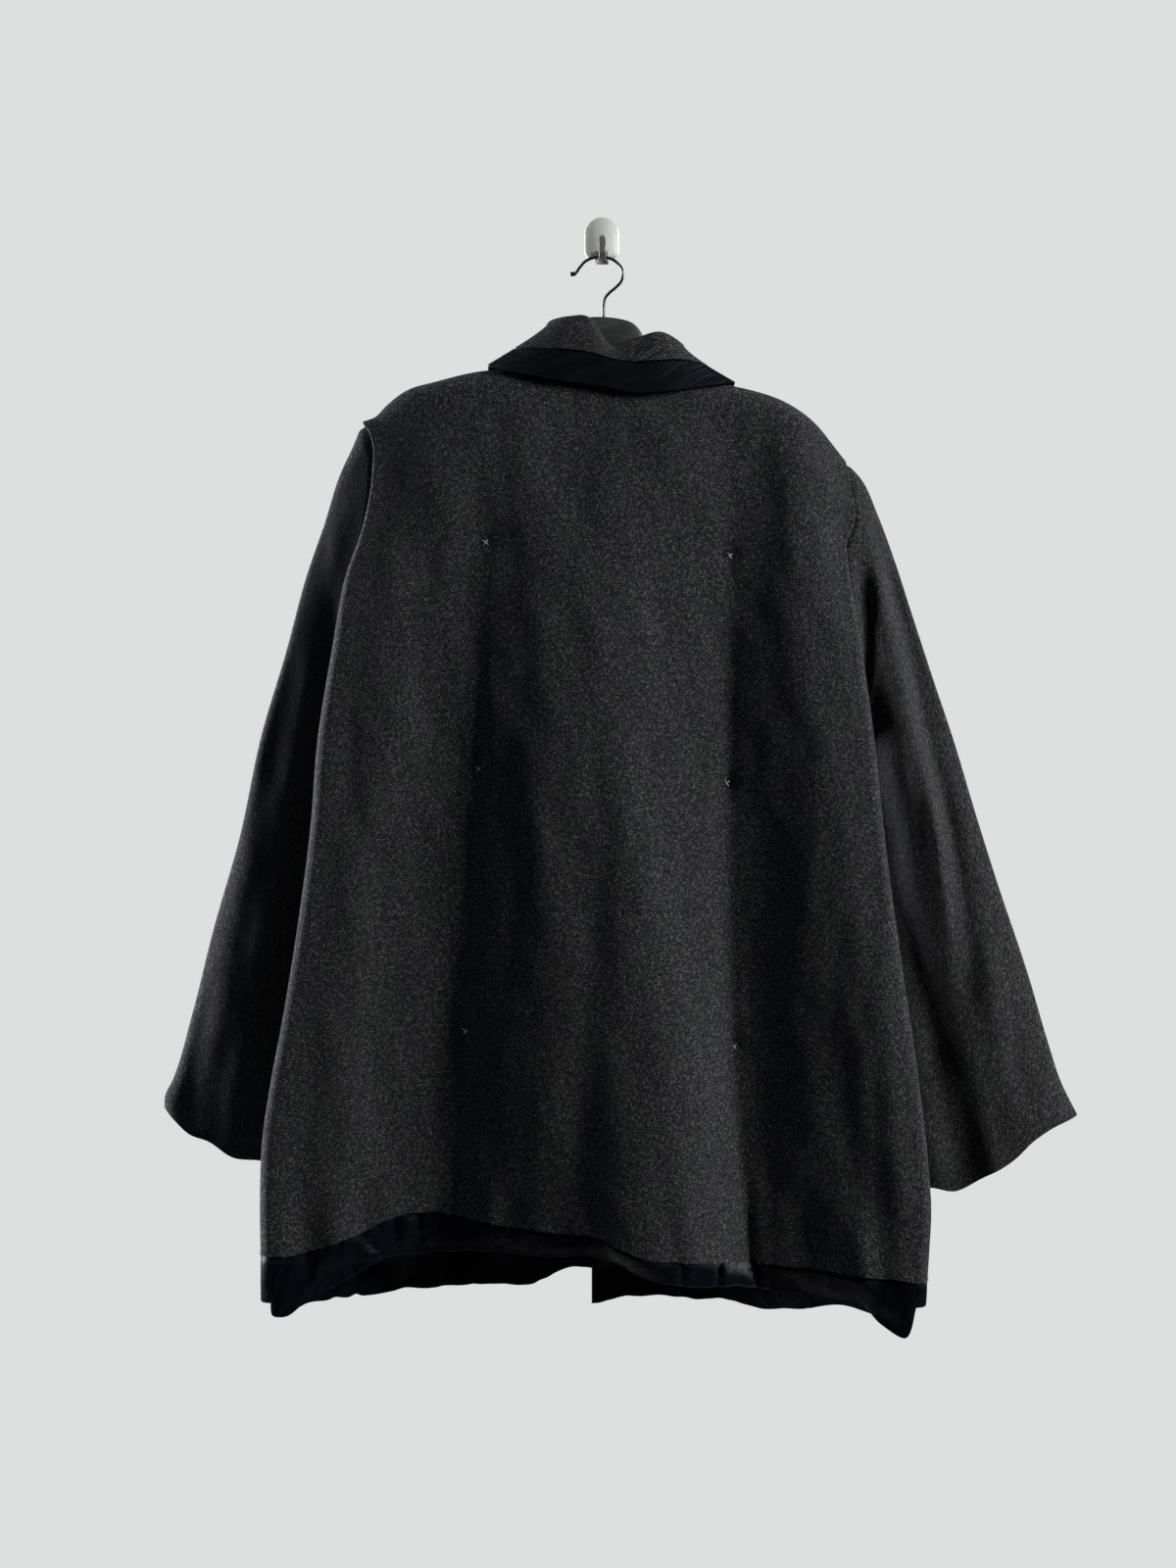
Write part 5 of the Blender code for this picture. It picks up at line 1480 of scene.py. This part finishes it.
def plate_outline():
    """The plate's outline: an arch above and two rounded corners below."""
    arch = np.linspace(0, math.pi, 49)
    corner = np.linspace(0, math.pi / 2, 14)
    side = PLATE_HALF_WIDTH - PLATE_CORNER + PLATE_CORNER * np.cos(corner)
    low = PLATE_BOTTOM + PLATE_CORNER - PLATE_CORNER * np.sin(corner)
    x = np.concatenate([PLATE_HALF_WIDTH * np.cos(arch), -side, side[::-1]])
    top = PLATE_TOP - PLATE_HALF_WIDTH + PLATE_HALF_WIDTH * np.sin(arch)
    return np.stack([x, np.concatenate([top, low, low[::-1]])], axis=1)


def make_wall_plate():
    """The wall hook's plate with its eased front edge."""
    middle = np.array([0.0, (PLATE_TOP + PLATE_BOTTOM) / 2])
    away = plate_outline() - middle
    far = np.linalg.norm(away, axis=1, keepdims=True)
    rings = []
    for inset, depth in PLATE_EDGE:
        ring = away * (1 - inset / far) + middle
        rings.append(points(ring[:, 0], depth, ring[:, 1]))
    plain_mesh("wall_hook_plate", *lofted(rings), STEEL_LOOK, "steel", "wall_plate")


def make_wall_peg():
    """The wall hook's upturned peg, a bent strip of steel painted darker as painted shade."""
    route = spline(PEG_SECTIONS, np.linspace(0, 1, 90))
    along = np.gradient(route[:, :2], axis=0)
    along /= np.linalg.norm(along, axis=1, keepdims=True)
    rings = []
    for (depth, z, half_width), (out, up) in zip(route, along):
        x, rise = (np.array(PEG_CORNERS) * (half_width, PEG_THICKNESS / 2)).T
        rings.append(points(x, depth - up * rise, z + out * rise))
    plain_mesh("wall_hook_peg", *lofted(rings), PEG_PAINTED_SHADE_LOOK, "steel", "wall_peg")


def front_place(z):
    """Where the fronts meet at a height: x, and the depth in front of which a frog lies."""
    shares = np.linspace(0, 1, 200)
    edges = [front(side, np.ones(200), shares) / MM for side in ("left", "right")]
    x = [np.interp(-z, -edge[:, 2], edge[:, 0]) for edge in edges]
    heights = (-z - LOOP_HALF, -z + LOOP_HALF)
    depth = [np.interp(height, -edge[:, 2], -edge[:, 1]) for edge in edges for height in heights]
    return sum(x) / 2, min(depth)


def stadium(x, z, depth, start, end, half):
    """Places round a flat loop of cord that runs from start to end beside x."""
    bend = np.linspace(math.pi / 2, math.pi * 3 / 2, 24)
    run = np.linspace(0, 1, 14)[1:-1]
    level = np.ones_like(run)
    left, right = start + half * np.cos(bend), end - half * np.cos(bend)
    across = np.concatenate([left, mix(start, end, run), right, mix(end, start, run)])
    up = half * np.concatenate([np.sin(bend), -level, -np.sin(bend), level])
    return points(x + across, depth, z + up)


def ball(place, radius, flatness):
    """A knot's ball with the turns of its cord pressed round it."""
    rings, around = 22, 36
    lon = 2 * math.pi * np.arange(around) / around
    layers = []
    for i in range(rings + 1):
        lat = math.pi * i / rings
        turns = 0.10 * np.sin(3 * lon + 4 * lat) * math.sin(lat)
        size = radius * (0.90 + turns)
        out = size * math.sin(lat)
        ring = [out * np.cos(lon), flatness * out * np.sin(lon), size * math.cos(lat)]
        layers.append(place + np.stack(ring, axis=1))
    return lofted(layers, caps=False)


def make_frogs():
    """The four frogs: a loop and a leaf of flat cord each, and a ball knot between them."""
    for number, height in enumerate(FROG_HEIGHTS, 1):
        x, depth = front_place(height)
        face = depth - WOOL / 2 - SEAM_GAP
        reach = LOOP_HALF + 2 * CORD_RADIUS + LEAF_HALF + SEAM_GAP
        runs = {"loop": (-LEAF_LENGTH, 0.0, LOOP_HALF), "leaf": (reach, LEAF_LENGTH, LEAF_HALF)}
        for kind, run in runs.items():
            places = stadium(x, height, face - CORD_RADIUS, *run)
            cord = tube_parts(places, CORD_RADIUS * MM, 12, closed=True)
            name = f"frog_{kind}_cord_{number}"
            plain_mesh(name, *cord, CORD_LOOK, "frog_cord", f"frog_{kind}_{number}")
        place = points(x, face - KNOT_RADIUS * KNOT_FLATNESS, float(height))
        knot = ball(place, KNOT_RADIUS * MM, KNOT_FLATNESS)
        name = f"frog_knot_ball_{number}"
        plain_mesh(name, *knot, CORD_LOOK, "frog_cord", f"frog_knot_{number}")


def nearest_place(places, x, z):
    """The place of a panel's grid nearest to a flat position."""
    middle = places[:, places.shape[1] // 8 : -places.shape[1] // 8]
    gap = (middle[..., 0] / MM - x) ** 2 + (middle[..., 2] / MM - z) ** 2
    return middle[np.unravel_index(gap.argmin(), gap.shape)]


def make_tacks(places):
    """Small crosses of thread that hold the layers of the back together."""
    parts = []
    run = np.linspace(-1, 1, 9)
    for number, tack in enumerate(TACKS):
        base = nearest_place(places, tack.x, tack.z)
        front_y = base[1] - (WOOL / 2 + 0.35) * MM
        for k, slope in enumerate((45, -45)):
            angle = math.radians(tack.turn + slope)
            half = TACK_HALF + 0.3 * math.sin(number * 2.1 + k)
            lift = (1 - run**2) * (0.35 + 0.45 * k) - np.abs(run) ** 6 * 0.9
            x = tack.x + half * run * math.cos(angle)
            z = tack.z + half * run * math.sin(angle)
            route = np.stack([x * MM, front_y - lift * MM, z * MM], axis=1)
            parts.append(tube_parts(route, TACK_RADIUS * MM, 6))
    return plain_mesh("tack_stitches", *joined(parts), THREAD_LOOK, "wool")


def fibre_roots(rng, key, places, count, edge_share):
    """Random places on a piece and the directions out of it, some of them along its edges."""
    wrap = key.startswith("sleeve")
    down, across = places.shape[:2]
    j = rng.integers(0, across, count)
    i = (rng.random(count) * (down - 2)).astype(int)
    at_edge = rng.random(count) < edge_share
    if key == "back":
        near = (rng.random(count) * FUZZ_EDGE_WIDTH * across).astype(int)
        j = np.where(at_edge, np.where(rng.random(count) < 0.5, near, across - 1 - near), j)
    low = rng.random(count) < FUZZ_HEM_SHARE
    i = np.where(low, down - 1 - rng.integers(0, 2, count), i)
    mixed = rng.random((count, 1))
    beside = (j + 1) % across if wrap else np.minimum(j + 1, across - 1)
    roots = mix(places[i, j], places[np.minimum(i + 1, down - 1), beside], mixed)
    return roots, grid_normals(places, wrap)[i, j] * OUTER_SIDE[key]


def make_fuzz(cloths):
    """Loose fibres standing off the wool, closest together along its turned and cut edges."""
    rng = np.random.default_rng(SEEDS["fibres"])
    pairs = [fibre_roots(rng, key, cloths[key][1], *amounts) for key, *amounts in FUZZ]
    roots, normals = (np.concatenate(part) for part in zip(*pairs))
    count = len(roots)
    way = normals + rng.normal(0, FIBRE_LEAN, (count, 3))
    way /= np.linalg.norm(way, axis=1, keepdims=True)
    flat = (way * normals).sum(axis=1, keepdims=True) < 0.12
    way = np.where(flat, way + normals * 0.6, way)
    size = (0.9 + 2.1 * rng.random((count, 1)) ** 2) * MM
    bend = np.cross(way, rng.normal(0, 1, (count, 3)))
    bend /= np.linalg.norm(bend, axis=1, keepdims=True)
    width = np.cross(way, bend) * FIBRE_HALF_WIDTH * (1 + rng.random((count, 1))) * MM
    base = roots + normals * WOOL / 2 * MM * 0.9
    middle = base + way * size * 0.55 + bend * size * 0.06
    tip = base + way * size + bend * size * 0.3
    corners = [base - width, base + width, middle - width * 0.8, middle + width * 0.8, tip]
    vertices = np.stack(corners, axis=1).reshape(-1, 3)
    faces = []
    for k in range(0, 5 * count, 5):
        faces.append((k, k + 1, k + 3, k + 2))
        faces.append((k + 2, k + 3, k + 4))
    plain_mesh("wool_fibres", vertices, faces, FIBRE_LOOK, "wool")


cloths = make_panels()
cloths.update(make_collar())
cloths.update(make_hem_bands())
make_hanger()
make_hanger_wire()
make_wall_plate()
make_wall_peg()
make_frogs()
tacks = make_tacks(cloths["back"][1])
make_bead(cloths["hem_band_back"][1])
make_fuzz(cloths)


# --- Floor, light and camera ------------------------------------------------------------------

# The camera is taken to have stood level with the photo's middle. These are in millimetres.
SENSOR = 36
CAMERA_DISTANCE = 1900
CAMERA_X = -13.6
CAMERA_Z = -533
MM_PER_PIXEL = 0.958
PHOTO_HEIGHT = 1600

# The rest is in metres.
FLOOR_HALF = 1.0
FLOOR_Z = -1.78
ROOM_LIGHT = 0.022
ROOM_COLOUR = (0.78, 1.0, 1.30, 1)
BACKDROP_COLOUR = (0.72, 0.745, 0.73, 1)

# A window to the right, a soft fill, a bounce from the left and a light behind the wall's plane,
# each with its name, place, aim, size, power and colour.
LIGHTS = [
    ("window", (4.2, -1.06, 1.15), (0, 0, -0.6), (1.15, 1.7), 440, (1.0, 0.99, 0.97)),
    ("fill", (-1.6, -0.6, 1.9), (0, 0, -0.6), (1.2, 1.2), 15, (0.85, 0.98, 1.0)),
    ("bounce", (-2.2, 0.42, -0.4), (-0.3, -0.05, -0.6), (0.7, 1.6), 250, (1, 1, 1)),
    ("behind", (-1.0, 2.4, 0.4), (0, 0, -0.6), (1.4, 1.6), 50, (1, 1, 1)),
]


def make_floor():
    """The floor below the jacket."""
    mesh = bpy.data.meshes.new("floor")
    half, z = FLOOR_HALF, FLOOR_Z
    corners = [(-half, -half, z), (half, -half, z), (half, half, z), (-half, half, z)]
    mesh.from_pydata(corners, [], [(0, 1, 2, 3)])
    mesh.materials.append(floor_look("floor_plain"))
    floor = bpy.data.objects.new("floor", mesh)
    bpy.context.scene.collection.objects.link(floor)


def area_light(name, place, aim, size, power, colour):
    """A rectangular light that faces its aim."""
    data = bpy.data.lights.new(name, "AREA")
    data.shape = "RECTANGLE"
    data.size, data.size_y = size
    data.energy = power
    data.color = colour
    light = bpy.data.objects.new(name, data)
    light.location = place
    direction = Vector(aim) - Vector(place)
    light.rotation_euler = direction.to_track_quat("-Z", "Y").to_euler()
    bpy.context.scene.collection.objects.link(light)


def make_room():
    """A dim room with a backdrop that is pale in every direction."""
    world = bpy.data.worlds.new("studio")
    bpy.context.scene.world = world
    world.use_nodes = True
    nodes, links = world.node_tree.nodes, world.node_tree.links
    room = nodes["Background"]
    room.inputs["Color"].default_value = ROOM_COLOUR
    room.inputs["Strength"].default_value = ROOM_LIGHT
    backdrop = nodes.new("ShaderNodeBackground")
    backdrop.inputs["Color"].default_value = BACKDROP_COLOUR
    seen = nodes.new("ShaderNodeLightPath")
    choice = nodes.new("ShaderNodeMixShader")
    links.new(seen.outputs["Is Camera Ray"], choice.inputs["Fac"])
    links.new(room.outputs["Background"], choice.inputs[1])
    links.new(backdrop.outputs["Background"], choice.inputs[2])
    links.new(choice.outputs["Shader"], nodes["World Output"].inputs["Surface"])
    bpy.context.scene.view_settings.view_transform = "Standard"


def make_camera():
    """The camera, where the photo's is taken to have stood."""
    data = bpy.data.cameras.new("camera")
    data.sensor_width = SENSOR
    data.lens = SENSOR * CAMERA_DISTANCE / (MM_PER_PIXEL * PHOTO_HEIGHT)
    data.clip_start = 0.01
    camera = bpy.data.objects.new("camera", data)
    camera.location = (CAMERA_X * MM, -CAMERA_DISTANCE * MM, CAMERA_Z * MM)
    camera.rotation_euler = (math.radians(90), 0, 0)
    bpy.context.scene.collection.objects.link(camera)
    bpy.context.scene.camera = camera


make_floor()
make_room()
for light in LIGHTS:
    area_light(*light)
make_camera()
